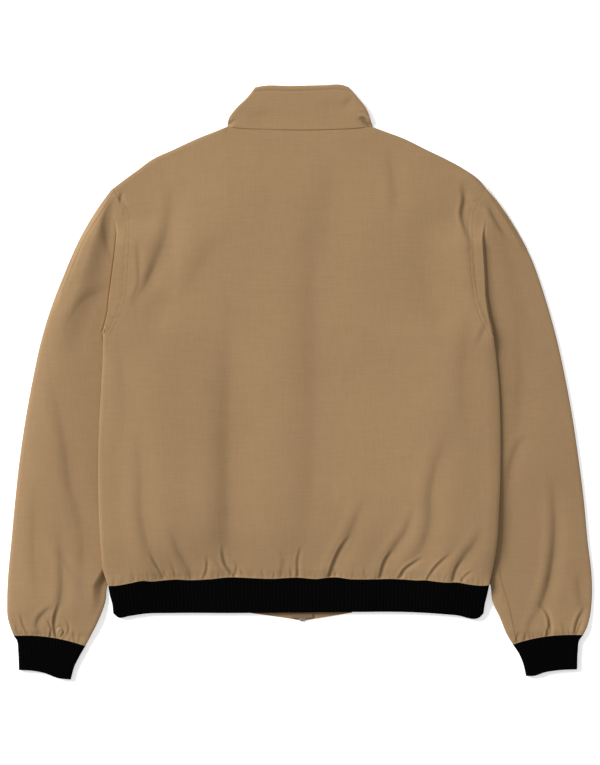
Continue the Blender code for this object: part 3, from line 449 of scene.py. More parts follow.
def add_node(tree, kind, inputs, **settings):
    node = tree.nodes.new("ShaderNode" + kind)
    for key, value in settings.items():
        setattr(node, key, value)
    set_inputs(tree, node, inputs)
    return node


def object_place(tree):
    """Places a texture in the part's own metres."""
    return add_node(tree, "TexCoord", {}).outputs["Object"]


def summed(tree, first, second):
    return add_node(tree, "Math", {0: first, 1: second}, operation="ADD").outputs[0]


def mixed(tree, share, first, second):
    colours = {"A": (*first, 1), "B": (*second, 1), "Factor": share}
    return add_node(tree, "Mix", colours, data_type="RGBA").outputs["Result"]


def bumped(tree, height, strength, distance):
    relief = {"Strength": strength, "Distance": distance, "Height": height}
    return add_node(tree, "Bump", relief).outputs["Normal"]


def woven_shell(name, tone, shade, thread, slub, sheen):
    """Closely woven cloth: threads both ways, uneven slubs and a slight change of tone."""
    mat, tree, shader = new_material(name)
    place = object_place(tree)
    streaks = []
    for stretch in ((45, 700, 45), (700, 45, 45)):
        turned = add_node(tree, "Mapping", {"Vector": place, "Scale": stretch}).outputs["Vector"]
        noise = add_node(tree, "TexNoise", {"Vector": turned, "Scale": 1.0, "Detail": 2.0})
        streaks.append(noise.outputs["Fac"])
    slubs = summed(tree, *streaks)
    cloud = add_node(tree, "TexNoise", {"Vector": place, "Scale": 9.0, "Detail": 3.0})
    total = summed(tree, slubs, cloud.outputs["Fac"])
    spread = add_node(tree, "MapRange", {"Value": total, "From Min": 1.0, "From Max": 2.0})
    threads = []
    for direction in ("X", "Y"):
        across = {"Vector": place, "Scale": math.pi / 10 / thread, "Distortion": 0.6}
        wave = add_node(tree, "TexWave", across, bands_direction=direction)
        threads.append(wave.outputs["Fac"])
    weave = add_node(tree, "Math", {0: threads[0], 1: threads[1]}, operation="MULTIPLY").outputs[0]
    raised = add_node(tree, "Math", {0: slubs, 1: slub, 2: weave}, operation="MULTIPLY_ADD").outputs[0]
    set_inputs(tree, shader, {
        "Roughness": 0.78, "Specular IOR Level": 0.28, "Sheen Weight": sheen, "Sheen Roughness": 0.45,
        "Base Color": mixed(tree, spread.outputs["Result"], shade, tone),
        "Normal": bumped(tree, raised, 0.35, 0.00006)})
    return mat


SHELL_TONE, SHELL_SHADE = (0.316, 0.198, 0.097), (0.272, 0.168, 0.080)
shell = woven_shell("shell_cloth", SHELL_TONE, SHELL_SHADE, thread=0.0005, slub=0.5, sheen=0.12)


SHARPEST_CURVE = math.radians(50)     # cloth that bends more between two threads is creased
SKIRT = 1.8                           # how far a cut edge is turned in


def mesh_object(name, verts, faces, mat, smooth=True):
    """An object from points and faces, with its material."""
    mesh = bpy.data.meshes.new(name)
    mesh.from_pydata(verts, [], faces)
    mesh.update()
    if smooth:
        mesh.shade_smooth()
    mesh.materials.append(mat)
    obj = bpy.data.objects.new(name, mesh)
    bpy.context.scene.collection.objects.link(obj)
    return obj


def cloth_mesh(name, x, y, z, mat, upward, skirt=SKIRT, closed=False):
    """A cloth grid in millimetres; its cut edges are turned in by the depth of the skirt."""
    if skirt:
        inward = -skirt if upward else skirt
        x, y, z = (np.pad(a, 1, mode="edge") for a in (x, y, z))
        for edge in (np.s_[0, :], np.s_[-1, :], np.s_[:, 0], np.s_[:, -1]):
            z[edge] += inward
        z[0, 0] = z[0, 1]
        z[0, -1] = z[0, -2]
        z[-1, 0] = z[-1, 1]
        z[-1, -1] = z[-1, -2]
        z = np.maximum(z, 0)
    rows, columns = x.shape
    verts = np.stack([x, y, z], axis=-1).reshape(-1, 3) * MM
    across = np.arange(columns if closed else columns - 1)
    r, c = np.meshgrid(np.arange(rows - 1), across, indexing="ij")
    d = (c + 1) % columns
    quads = np.stack([r * columns + c, r * columns + d, (r + 1) * columns + d, (r + 1) * columns + c], -1)
    quads = quads.reshape(-1, 4)
    if not upward:
        quads = quads[:, ::-1]
    obj = mesh_object(name, verts.tolist(), quads.tolist(), mat)
    obj.data.set_sharp_from_angle(angle=SHARPEST_CURVE)
    return obj


def sewn_in(obj, node):
    """The piece lies in the jacket in place of the node, as cloth of this cut."""
    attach(obj, "jacket")
    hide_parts(node)


def laid_panel(name, node, grid, face, opposite, upward, lean=lambda x, y: 0):
    """One cut panel, laid out: turned edges meet the opposite panel halfway."""
    x, y, level = grid
    outer, other = face(x, y), opposite(x, y)
    x = x + lean(x, y)
    seam = (outer + other) / 2 + (SEAM_GAP / 2 if upward else -SEAM_GAP / 2)
    obj = cloth_mesh(name, x, y, seam + (outer - seam) * level, shell, upward)
    sewn_in(obj, node)


def make_back():
    """The back, one panel from side to side."""
    neck = smooth_line(NECK_BACK)
    neck[:, 1] += NECK_UNDER * ease((NECK_HALF - np.abs(neck[:, 0])) / 10)
    north = joined(edge_line(SHOULDER, "left"), neck,
                   reversed_line(edge_line(SHOULDER, "right")), breaks=TOP_BREAKS)
    surface = cloth_patch(smooth_line(HEM_SEAM), north, body_side_line("left"), body_side_line("right"))
    grid = cloth_grid(surface, stations(BACK_COLUMNS, TURNED_EDGE, TURNED_EDGE),
                      stations(BACK_ROWS, None, TURNED_EDGE, power=1.4),
                      body_side_roll, body_side_roll, shoulder_roll)
    laid_panel("back_panel", "back", grid, back_face, body_lift, True)


make_back()


# ---------------------------------------------------------------- fronts
# The two fronts in the same cloth, underneath, with the zip sewn between them.  They lie flat on
# the surface, and climb onto the sleeves at their sides.

CENTRE_FRONT, ZIP_GAP = 4.0, 4.0
FRONT_HEM_SEAM = [(-261, -277), (-240, -276), (-206, -272), (-160, -269.5), (-72, -269),
                  (4, -269), (72, -269), (160, -269.5), (206, -272), (238, -276), (259, -277)]
NECK_FRONT = [(-99, 350), (-92, 328), (-77, 305), (-54, 287), (-27, 277), (4, 274),
              (33, 277), (58, 287), (79, 305), (93, 328), (99, 350)]
FRONT_HEM_LOW, NECK_FRONT_LOW = -269, 274
FRONT_HEM_LEVEL, FRONT_RISE = -272, 1.6                 # the hem as a whole, the deepest crease
FRONT_COLUMNS, FRONT_ROWS = 130, 200
FRONT_TOP_BREAK = 0.56                                  # share of a front's top edge at the neck

# Creases of the fronts, in the columns of the back's table; they rise into the cloth from below
FRONT_CREASES = [
    (6, (0, 0.9, 0.7), 0.4, [(-222, -180), (-204, -228), (-190, -268)]),
    (2, (0, 0.8, 0.7), 0.4, [(-171, -236), (-164, -254), (-162, -268)]),
    (5, (0, 0.8, 0.6), 0.4, [(-150, -200), (-141, -236), (-138, -266)]),
    (2, (0, 0.9, 0.6), 0.4, [(-112, -228), (-117, -250), (-114, -268)]),
    (8, (0, 1.1, 0.8), 0.4, [(-84, -150), (-76, -214), (-80, -266)]),
    (2, (0, 0.7, 0.6), 0.4, [(-40, -240), (-44, -256), (-42, -268)]),
    (2, (0, 0.8, 0.6), 0.4, [(42, -236), (46, -252), (44, -268)]),
    (6, (0, 1.0, 0.8), 0.4, [(96, -160), (88, -216), (92, -266)]),
    (2, (0, 0.9, 0.7), 0.4, [(128, -232), (121, -252), (124, -268)]),
    (5, (0, 0.8, 0.7), 0.4, [(168, -196), (158, -236), (150, -268)]),
    (2, (0, 0.8, 0.6), 0.4, [(190, -240), (183, -256), (185, -270)]),
    (6, (0, 1.0, 0.8), 0.4, [(228, -176), (214, -226), (206, -270)]),
    (14, (0, 0.9, 0.8, 0), 0.3, [(-120, 220), (-150, 160), (-190, 110)]),
    (14, (0, 0.9, 0.8, 0), 0.3, [(110, 230), (150, 160), (196, 104)]),
    (9, (0, 0.8, 0.7, 0), 0.3, [(-60, 250), (-72, 190), (-66, 130)]),
    (9, (0, 0.8, 0.7, 0), 0.3, [(66, 252), (80, 190), (72, 128)]),
    (18, (0, 0.7, 0.9, 0.6), 0.3, [(-58, 60), (-66, -40), (-60, -130)]),
    (18, (0, 0.7, 0.9, 0.6), 0.3, [(70, 50), (62, -50), (70, -140)]),
]


def front_face(x, y):
    """Outer face of a front, seen from below: it never reaches under the surface it lies on."""
    above_hem = y - FRONT_HEM_LEVEL
    rise = -creased(x, y, FRONT_CREASES) * ease((above_hem + 2) / 8)
    tucks = gathers(x, above_hem, np.random.default_rng(11), spacing=11.0, reach=14.0)
    rise -= tucks * ease((above_hem + 1) / 4)
    return body_lift(x, y) + np.clip(rise, 0, FRONT_RISE)


def front_neck_line(side):
    """The front neck seam of one side, from the shoulder to the zip."""
    sign = -1 if side == "left" else 1
    edge = CENTRE_FRONT + sign * ZIP_GAP
    half = [p for p in NECK_FRONT if sign * (p[0] - edge) > 1]
    return smooth_line((half if side == "left" else half[::-1]) + [(edge, NECK_FRONT_LOW)])


def make_front(side):
    """One front, from the side to the zip."""
    sign = -1 if side == "left" else 1
    edge = CENTRE_FRONT + sign * ZIP_GAP
    hem = [p for p in FRONT_HEM_SEAM if sign * (p[0] - edge) > 1]
    south = smooth_line(hem + [(edge, FRONT_HEM_LOW)] if side == "left" else [(edge, FRONT_HEM_LOW)] + hem)
    north = joined(edge_line(SHOULDER, side), front_neck_line(side), breaks=(FRONT_TOP_BREAK,))
    outer = body_side_line(side)
    centre = measured(np.array([(edge, FRONT_HEM_LOW), (edge, NECK_FRONT_LOW)], dtype=float))
    if side == "left":
        surface = cloth_patch(south, north, outer, centre)
        columns = stations(FRONT_COLUMNS, TURNED_EDGE, None)
    else:
        surface = cloth_patch(south, reversed_line(north), centre, outer)
        columns = stations(FRONT_COLUMNS, None, TURNED_EDGE)
    grid = cloth_grid(surface, columns, stations(FRONT_ROWS, None, TURNED_EDGE, power=1.2),
                      body_side_roll, body_side_roll, shoulder_roll)
    laid_panel(f"front_{side}_panel", "front_" + side, grid, front_face, back_height, False)


make_front("left")
make_front("right")


# ---------------------------------------------------------------- sleeves
# Each sleeve is a back and a front panel, joined by a seam over the arm and one under it, set into
# the armhole and gathered into its cuff.

SLEEVE_OUTER = [(-346, -391, 388), (-336, -395, 393), (-322, -399, 397), (-298, -400, 400),
                (-270, -399, 400), (-215, -394, 394), (-161, -389, 389), (-106, -383, 382),
                (-51, -375, 374), (4, -365, 364), (59, -353, 352), (113, -336, 337),
                (141, -325, 328), (168, -314, 318), (196, -301, 304), (223, -286, 288),
                (250, -268, 269), (265, -256, 256)]
CUFF_SEAM = {"left": [(-391, -346), (-362, -346), (-336, -349), (-313, -354), (-293, -360)],
             "right": [(292, -358), (308, -353), (338, -347), (363, -345), (388, -345)]}
SHOULDER_GAP = 0.1                                      # from the shoulder to the sleeve's top
SLEEVE_GAP = {"left": 0.05, "right": -0.6}              # from the armhole; the right one lies under it
SEAM_STEP = 0.12                                        # the armhole seam lies this far below the back
CUFF_TUCK = -352                                        # y where the sleeve tucks into its cuff
LEFT_CROWN, RIGHT_CROWN, RIGHT_FALL = 4.4, 4.2, 3.8     # how far the sleeves puff up, or sink
CROWN_SKEW, CROWN_CUFF = 0.7, 50                        # the puff leans inwards, and fades at the cuff,
CROWN_TOP, CROWN_FADE = 200, 60                         # below the shoulder,
CROWN_ARMPIT, CROWN_CLIMB = 20, 80                      # and beside the armhole
NARROWEST = 20                                          # a sleeve is taken as no narrower
HEAP, HEAP_OUT, HEAP_IN = 2.1, 9, 4                     # cloth heaped beside the right fold
HEAP_LOW, HEAP_CLIMB = -262, 50
HOLLOW, HOLLOW_PLACE, HOLLOW_WIDTH = 1.6, 2, 15         # cloth sunk beside the left fold
GROOVE, GROOVE_PLACE, GROOVE_WIDTH = 0.9, 1.6, 1.3      # the fold presses a groove at its foot
RIM, RIM_WIDTH = 1.6, 9                                 # the left sleeve's top edge falls away
FOLD_ONSET = 7                                          # the fold grows over this height
FOLD_EDGE = (1.4, 2.6)                                  # width of the step at each fold's edge
INNER_ROLL, INNER_ROLL_WIDTH = (6.4, 1.0), 15           # turn of each sleeve's inner edge
UNDERARM_STEP, UNDERARM_FADE = 0.5, 16                  # the right underarm seam stands up on one side
ARMPIT_SHARE = 0.71                                     # of a sleeve's inner edge
SLEEVE_COLUMNS, SLEEVE_ROWS = 150, 420
UNDER_COLUMNS, UNDER_ROWS = 70, 200
OVERHANG = 1.3                                          # the left fold leans out this far
SLEEVE_UNDER_RISE = 1.5                                 # the deepest tuck on the underside
OVERARM_SEAM = {"left": [(-252, 263), (-272, 232), (-294, 196), (-310, 159), (-324, 122)],
                "right": [(254, 263), (270, 240), (285, 219), (299, 195), (308, 178)]}
UNDERARM_SEAM = [(271, -250), (277, -276), (287, -308), (296, -351)]
# How far out the armhole's fold overhangs each sleeve: y, distance from the middle
FOLD_FOOT = {"left": [(57, 263), (65, 268), (72, 267.4), (85, 263.5), (97, 261), (119, 258.7),
                      (142, 255.6), (175, 251.4), (204, 248.5), (224, 251.4)],
             "right": [(57, 260), (65, 265), (72, 264.6), (85, 261), (97, 258.5), (119, 255.5),
                       (145, 254.4), (194, 251.3), (230, 253.9)]}
SLEEVE_CREASES = {
    "left": [
        (4.5, (0.3, 0.8, 1.0, 0.9, 0.8, 0.4), 0.3, [(-255, 248), (-263, 238), (-268, 221), (-267, 200),
         (-263, 184), (-258, 170)]),
        (6.5, (0, 0.8, 1.0, 0.8, 0), 0.4, [(-257, 135), (-273, 127), (-295, 116), (-312, 94), (-325, 64)]),
        (8, (0, 0.9, 1.3, 1.3, 0.8, 0), 0.35, [(-342, 15), (-334, -30), (-323, -85), (-316, -140),
         (-302, -188), (-295, -243)]),
        (7, (0, 0.7, 0.8, 0.5), 0.3, [(-361, -130), (-365, -188), (-365, -236), (-361, -284)]),
        (9, (0, 0.8, 0.9, 0.3), 0.3, [(-303, -196), (-299, -226), (-301, -262), (-298, -298)]),
        (4, (0, 0.7, 0.6, 0), 0.4, [(-329, -232), (-319, -248), (-305, -270)]),
        (5, (0, 0.8, 1.2, 1.4, 0.8), 0.4, [(-332, -202), (-328, -237), (-326, -270), (-329, -302),
         (-336, -324)]),
        (1.6, (0, 1.3, 1.6, 1.2), 0.4, [(-329, -300), (-336, -324), (-336, -337), (-333, -350)]),
        (1.2, (0.4, 0.9, 0.9, 0.6), 0.5, [(-332, -347), (-331, -337), (-327, -335), (-323, -340),
         (-327, -347)]),
        (1.3, (0, 0.6, 0.6, 0.4), 0.3, [(-325, -320), (-319, -326), (-316, -336), (-321, -348)]),
        (3, (0, 0.9, 1.2, 0.8, 0.3), 0.4, [(-336, -303), (-349, -313), (-357, -322), (-360, -333),
         (-357, -344)]),
        (1.4, (0, 0.9, 1, 0.8), 0.4, [(-351, -320), (-345, -326), (-340, -335), (-342, -348)]),
        (1.6, (0, 0.8, 0.8, 0.5), 0.3, [(-383, -314), (-379, -329), (-373, -344)]),
        (1.4, (0, 0.5, 0.4), 0.3, [(-389, -328), (-386, -344)]),
        (1.4, (0, 0.5, 0.4), 0.3, [(-310, -335), (-309, -354)]),
        (1.4, (0, 0.4, 0.3), 0.3, [(-301, -341), (-302, -359)]),
    ],
    "right": [
        (3.2, (0, 1, 1.2, 0.9, 0.4, 0), 0.4, [(246, 242), (257, 239), (265, 226), (277, 207), (294, 186)]),
        (10, (0, 0.7, 0.8, 0.4), 0.3, [(291, 113), (298, 45), (299, -24), (292, -78)]),
        (5, (0, 0.7, 0.8, 0.6, 0), 0.4, [(312, -70), (299, -83), (287, -114), (283, -152)]),
        (5.5, (0, 0.8, 1.4, 1.9, 2.4, 1.4), 0.4, [(343, -125), (347, -174), (347, -215), (343, -251),
         (336, -284), (329, -304)]),
        (1.8, (0.4, 1.3, 1.5, 1.2), 0.4, [(328, -305), (336, -313), (341, -325), (339, -344)]),
        (1.2, (0, 0.7, 0.7), 0.3, [(336, -326), (343, -333), (342, -346)]),
        (1.2, (0, 0.6, 0.6), 0.3, [(334, -332), (337, -339), (338, -346)]),
        (4, (0, 0.6, 0.7, 0.3), 0.3, [(329, -307), (319, -320), (313, -333), (313, -348)]),
        (5, (0, 0.7, 0.9, 0.5), 0.3, [(380, -257), (381, -284), (386, -304)]),
        (2.2, (0, 1.2, 1.5, 1.1), 0.4, [(390, -306), (380, -325), (375, -344)]),
        (1.3, (0, 0.7, 0.7), 0.3, [(388, -321), (382, -335), (379, -344)]),
        (2.6, (0, 0.5, 0.5), 0.3, [(357, -322), (360, -333), (363, -344)]),
        (1.3, (0, 0.5, 0.4), 0.3, [(366, -332), (369, -344)]),
        (1.3, (0, 0.6, 0.5), 0.3, [(301, -339), (297, -347), (295, -355)]),
        (1.3, (0, 0.5, 0.4), 0.3, [(309, -339), (307, -352)]),
    ],
}


def fold_foot(x, y):
    """How far from the middle the armhole's fold reaches."""
    left, right = (np.interp(y, *zip(*FOLD_FOOT[side])) for side in ("left", "right"))
    return np.where(x < 0, left, right)


def fold_share(x, y):
    """One on the armhole's fold, falling to nothing across its edge."""
    width = np.where(x < 0, *FOLD_EDGE)
    return 1 - ease((np.abs(x) - fold_foot(x, y) - 0.6) / width + 1)


def overhang(x, y):
    """How far the edge of the left fold leans out over the sleeve."""
    strip = fold_foot(x, y) - armhole_x(x, y)
    from_seam = ease((np.abs(x) - armhole_x(x, y)) / np.maximum(strip, 0.1))
    reach = np.minimum(OVERHANG, 0.3 * np.maximum(strip, 0)) * armhole_fold(y)
    return -reach * fold_share(x, y) * from_seam * (x < 0)


def sleeve_height(x, y):
    """Outer face of a sleeve's back panel, without its fine creases."""
    outer = half_width(SLEEVE_OUTER, x, y)
    inner = np.where(y < HEM_CORNER_Y, sleeve_edge(x, y), armhole_x(x, y))
    limit = np.minimum(outer - NARROWEST, inner)
    across = np.clip((outer - np.abs(x)) / (outer - limit), 0, 1)
    left_crown = LEFT_CROWN * np.sin(np.pi * across ** CROWN_SKEW)
    right_crown = RIGHT_CROWN * across - RIGHT_FALL
    crown = np.where(x < 0, left_crown, right_crown)
    crown = crown * ease((y - CUFF_TUCK) / CROWN_CUFF) * (1 - ease((y - CROWN_TOP) / CROWN_FADE))
    up_armhole = ease((y - CROWN_ARMPIT) / CROWN_CLIMB)
    crown = crown * (1 - up_armhole * ease((across - 0.3) / 0.4))
    tuck = (SLEEVE_STACK - RIB_STACK) * (1 - ease((y - CUFF_TUCK - 2) / 12))
    past_foot = np.abs(x) - fold_foot(x, y)
    folded = armhole_fold(y) * ease((y - ARMPIT_Y + FOLD_ONSET) / FOLD_ONSET)
    past_edge = np.where(y > ARMPIT_Y, past_foot, np.abs(x) - armhole_x(x, y))
    heap = HEAP * np.exp(-np.where(past_edge > 0, past_edge / HEAP_OUT, (past_edge / HEAP_IN) ** 2))
    heap = heap * ease((y - HEAP_LOW) / HEAP_CLIMB) * armhole_fold(y)
    hollow = -HOLLOW * armhole_fold(y) * up_armhole
    hollow = hollow * np.exp(-((past_foot - HOLLOW_PLACE) / HOLLOW_WIDTH) ** 2)
    strip = back_height(np.copysign(armhole_x(x, y), x), y) - SEAM_STEP
    groove = GROOVE * folded * np.exp(-((past_foot - GROOVE_PLACE) / GROOVE_WIDTH) ** 2)
    from_inner = np.abs(x) - sleeve_edge(x, y) - 6 * ease((y + 330) / 60) * (x < 0)
    fade = np.where(x < 0, INNER_ROLL[0] * ease((y + 326) / 60), INNER_ROLL[1] * ease((y + 352) / 20))
    roll = fade * ease((INNER_ROLL_WIDTH - from_inner) / INNER_ROLL_WIDTH) * ease((-228 - y) / 10)
    rim = RIM * ease((RIM_WIDTH - (outer - np.abs(x))) / RIM_WIDTH) * ease((y - 90) / 30)
    beside = np.where(x < 0, hollow - rim, heap)
    sleeve = SLEEVE_STACK - tuck + crown + beside - groove - roll
    return sleeve + (strip - sleeve) * folded * fold_share(x, y)


def make_sleeve(side):
    """One sleeve's two panels."""
    low, high = armhole_lines(side, SLEEVE_GAP[side], SHOULDER_GAP)
    inner = joined(edge_line(SLEEVE_INNER, side), low, breaks=(ARMPIT_SHARE,))
    outer = edge_line(SLEEVE_OUTER, side)
    outer[-1, :2] = high[-1, :2]
    seam = smooth_line(CUFF_SEAM[side])
    if side == "left":
        surface = cloth_patch(seam, reversed_line(high), outer, inner)
        rolls = dict(west_roll=always, east_roll=body_side_roll)
    else:
        surface = cloth_patch(seam, high, inner, outer)
        rolls = dict(west_roll=body_side_roll, east_roll=always)
    overarm = (0.8, (0.2, 0.4, 0.4, 0.1), 0.2, OVERARM_SEAM[side])

    def above_cuff(x, y):
        return y - np.interp(x, *zip(*CUFF_SEAM[side]))

    def back_side(x, y):
        above = above_cuff(x, y)
        low = creased(x, y, SLEEVE_CREASES[side] + [overarm]) * ease((above + 2) / 5)
        tucks = gathers(x, above, np.random.default_rng(3), spacing=5.0, reach=9.0)
        low += tucks * ease((above + 1) / 3)
        low += 0.3 * np.sin(x / 29 + y / 87) * np.sin(y / 51) * ease(above / 60)
        if side == "right":
            seam_x, seam_y = np.array(UNDERARM_SEAM).T
            before = np.interp(-y, -seam_y, seam_x) - x
            step = UNDERARM_STEP * np.exp(-before / UNDERARM_FADE) * (before > 0)
            low += step * ease((-246 - y) / 12)
        return sleeve_height(x, y) + low

    def front_side(x, y):
        above = above_cuff(x, y)
        tucks = gathers(x, above, np.random.default_rng(5), spacing=8.0, reach=12.0)
        return np.clip(-tucks * ease(above / 4), 0, SLEEVE_UNDER_RISE)

    columns = stations(SLEEVE_COLUMNS, TURNED_EDGE, TURNED_EDGE)
    rows = stations(SLEEVE_ROWS, power=1.2)
    laid_panel(f"sleeve_{side}_back_panel", f"sleeve_{side}_back",
               cloth_grid(surface, columns, rows, **rolls), back_side, lambda x, y: 0 * x, True,
               lean=overhang)
    columns = stations(UNDER_COLUMNS, TURNED_EDGE, TURNED_EDGE)
    rows = stations(UNDER_ROWS, power=1.15)
    laid_panel(f"sleeve_{side}_front_panel", f"sleeve_{side}_front",
               cloth_grid(surface, columns, rows, **rolls), front_side, sleeve_height, False)


make_sleeve("left")
make_sleeve("right")


# ---------------------------------------------------------------- collar
# A stand collar: two layers of the shell cloth, edge-stitched, in one band from one front edge
# round the back of the neck to the other.

COLLAR_SIDE = [(350, -99, 99), (361, -97, 97), (374, -88, 92), (391, -71, 79), (404, -61, 68)]
COLLAR_TOP = [(-61, 404), (-50, 406), (-12, 406), (32, 407), (60, 407), (68, 404)]
COLLAR_FRONT_TOP = [(-61, 404), (-57, 381), (-43, 357), (-21, 339), (4, 333),
                    (28, 339), (49, 357), (63, 381), (68, 404)]
COLLAR_STACK, COLLAR_WALL = 6.8, 1.2
COLLAR_EDGE_STITCH, COLLAR_SEAT = 6.4, 0.45             # stitch row to top edge; base above the back
COLLAR_CREASES = [
    (2.2, (5.2, 5.0, 2.8, 0.2), 0.4, [(103, 352), (95, 357.5), (87, 362.5), (80, 362)]),
    (1.3, (1.0, 0.8, 0), 0.6, [(95, 367.5), (88, 371), (82, 372)]),
    (1.4, (0.3, 1.8, 3.0), 0.4, [(-89, 359.5), (-95, 356.5), (-104, 349)]),
    (8, (0, 0.8, 0.7, 0), 0.3, [(78, 378), (50, 382), (20, 379)]),
    (8, (0, 0.6, 0.7, 0), 0.3, [(-12, 366), (-44, 370), (-74, 362)]),
    (4, (0, 0.5, 0.4, 0), 0.3, [(74, 392), (64, 384), (58, 374)]),
]


def moved(line, distance):
    """The line moved sideways, to the right of its direction when the distance is positive."""
    along = np.gradient(line[:, :2], axis=0)
    along /= np.linalg.norm(along, axis=1)[:, None]
    return line + distance * np.column_stack([along[:, 1], -along[:, 0], 0 * line[:, 0]])


def between(line, low_x, high_x):
    """The stretch of a line that runs in +x between two values of x."""
    x, y = line[:, 0], line[:, 1]
    low_x, high_x = max(low_x, x[0]), min(high_x, x[-1])
    inside = (x > low_x + 0.01) & (x < high_x - 0.01)
    xs = np.concatenate([[low_x], x[inside], [high_x]])
    return measured(np.stack([xs, np.interp(xs, x, y)], axis=-1))


def flat_tube(parts, stack):
    """x, y, z of a flattened tube; a part is surface, columns, rows, face (1 up, -1 down), relief."""
    bands = []
    for surface, columns, rows, face, relief in parts:
        x, y, level = cloth_grid(surface, columns, rows)
        form = relief(x, y, columns[:, 0][None, :], rows[:, 0][:, None])
        z = stack / 2 * (1 + face * level) + form * level
        bands.append((x, y, z))
    return [np.hstack(band) for band in zip(*bands)]


def with_wall(obj, wall):
    """Gives a piece that is open at its ends the thickness of its cloth."""
    thick = obj.modifiers.new("wall", "SOLIDIFY")
    thick.thickness = wall * MM
    thick.offset = -1.0
    return obj


HALF_TURN = TURNED_EDGE[1:]


def make_collar():
    """The stand collar, one band round the neck."""
    west = shifted(edge_line(COLLAR_SIDE, "left"), 0, SEAM_GAP)
    east = shifted(edge_line(COLLAR_SIDE, "right"), 0, SEAM_GAP)
    back_neck = shifted(smooth_line(NECK_BACK), 0, SEAM_GAP)
    left_neck = moved(front_neck_line("left"), -SEAM_GAP)
    right_neck = reversed_line(moved(front_neck_line("right"), SEAM_GAP))
    left_neck[0, :2], right_neck[-1, :2] = west[0, :2], east[0, :2]
    left_edge, right_edge = CENTRE_FRONT - ZIP_GAP, CENTRE_FRONT + ZIP_GAP
    left_neck[-1, 0], right_neck[0, 0] = left_edge, right_edge
    front_top, top = smooth_line(COLLAR_FRONT_TOP), smooth_line(COLLAR_TOP)
    left_top, right_top = between(front_top, -120, left_edge), between(front_top, right_edge, 120)
    left = cloth_patch(left_neck, left_top, west,
                       measured(np.array([left_neck[-1, :2], left_top[-1, :2]])))
    right = cloth_patch(right_neck, right_top,
                        measured(np.array([right_neck[0, :2], right_top[0, :2]])), east)
    rows = stations(60)

    def outside(x, y, u, v):
        below_top = np.interp(x, top[:, 0], top[:, 1]) - y
        stitched = 0.4 * np.exp(-((below_top - COLLAR_EDGE_STITCH) / 1.5) ** 2)
        rolled = 0.7 * np.exp(-(below_top / 1.6) ** 2)
        neck_y = np.interp(x, back_neck[:, 0], back_neck[:, 1])
        seated = back_face(x, neck_y - SEAM_GAP) + COLLAR_SEAT - COLLAR_STACK
        seated = seated * np.exp(-((y - neck_y) / 9) ** 2) * ease((97 - np.abs(x)) / 8)
        return creased(x, y, COLLAR_CREASES) - stitched - rolled + seated

    def floor_side(x, y, u, v):
        return 0 * x

    parts = [(left, stations(60, HALF_TURN, None)[::-1], rows, -1, floor_side),
             (cloth_patch(back_neck, top, west, east), stations(150, HALF_TURN, HALF_TURN), rows,
              1, outside),
             (right, stations(60, None, HALF_TURN)[::-1], rows, -1, floor_side)]
    x, y, z = flat_tube(parts, COLLAR_STACK)
    obj = with_wall(cloth_mesh("collar_band", x, y, z, shell, True, skirt=0), COLLAR_WALL)
    sewn_in(obj, "collar")


make_collar()


# ---------------------------------------------------------------- rib knit
# A doubled band of black rib knit at the hem, from one tab round the back to the other, and one at
# each wrist.  The ribs stand out of a plain inside.

HEM_EDGE = [(-255, -315), (-248, -321), (-232, -319), (-212, -316), (-174, -315), (-86, -315),
            (26, -314), (176, -315), (214, -318), (246, -321), (252, -315)]
FRONT_HEM_EDGE = [(-255, -315), (-248, -321), (-232, -319), (-212, -315.5), (-160, -314.5),
                  (-72, -314), (72, -314), (176, -314.5), (214, -317.5), (246, -321), (252, -315)]
TAB_EDGE = [(-72, -315), (-16, -322.5), (4, -325.5), (25, -322.5), (72, -315)]
HEM_SIDE = {"left": [(-261, -277), (-259, -290), (-256, -303), (-255, -315)],
            "right": [(259, -277), (256.5, -290), (253.5, -303), (252, -315)]}
CUFF_EDGE = {"left": [(-384, -393), (-365, -394), (-349, -397), (-330, -404), (-313, -406)],
             "right": [(310, -401), (320, -401), (336, -396), (357, -393), (380, -392)]}
CUFF_WEST = {"left": [(-391, -346), (-387, -352), (-385, -368), (-384, -393)],
             "right": [(292, -358), (300, -370), (306, -384), (310, -401)]}
CUFF_EAST = {"left": [(-293, -360), (-301, -374), (-308, -388), (-313, -406)],
             "right": [(388, -345), (383, -352), (381, -366), (380, -392)]}
RIB_WALL = 1.6
RIB_HEIGHT, UNDER_RIB_HEIGHT = 0.6, 0.3
HEM_RIBS, UNDER_HEM_RIBS, CUFF_RIBS = 104, 36, 20
RIB_BLACK, RIB_GREY = (0.0009, 0.0009, 0.0010), (0.0020, 0.0020, 0.0022)
KNIT_LOOP = 0.0011                  # height of one knitted loop, in metres


def rib_knit(name):
    """Matt black yarn knitted in ribs: small loops in rows, with a little fuzz."""
    mat, tree, shader = new_material(name)
    place = object_place(tree)
    rows = {"Vector": place, "Scale": math.pi / 10 / KNIT_LOOP, "Distortion": 1.5}
    loops = add_node(tree, "TexWave", rows, bands_direction="Y").outputs["Fac"]
    yarn = add_node(tree, "TexNoise", {"Vector": place, "Scale": 1400.0, "Detail": 3.0}).outputs["Fac"]
    set_inputs(tree, shader, {
        "Roughness": 0.92, "Specular IOR Level": 0.015,
        "Base Color": mixed(tree, yarn, RIB_BLACK, RIB_GREY),
        "Normal": bumped(tree, summed(tree, loops, yarn), 0.6, 0.00025)})
    return mat


knit = rib_knit("rib_knit")


def ribbed(count, height):
    """A relief of round ribs across a piece, softer near its edges."""
    def relief(x, y, u, v):
        return height * (0.5 - 0.5 * np.cos(2 * math.pi * count * u)) ** 0.7 + 0 * v
    return relief


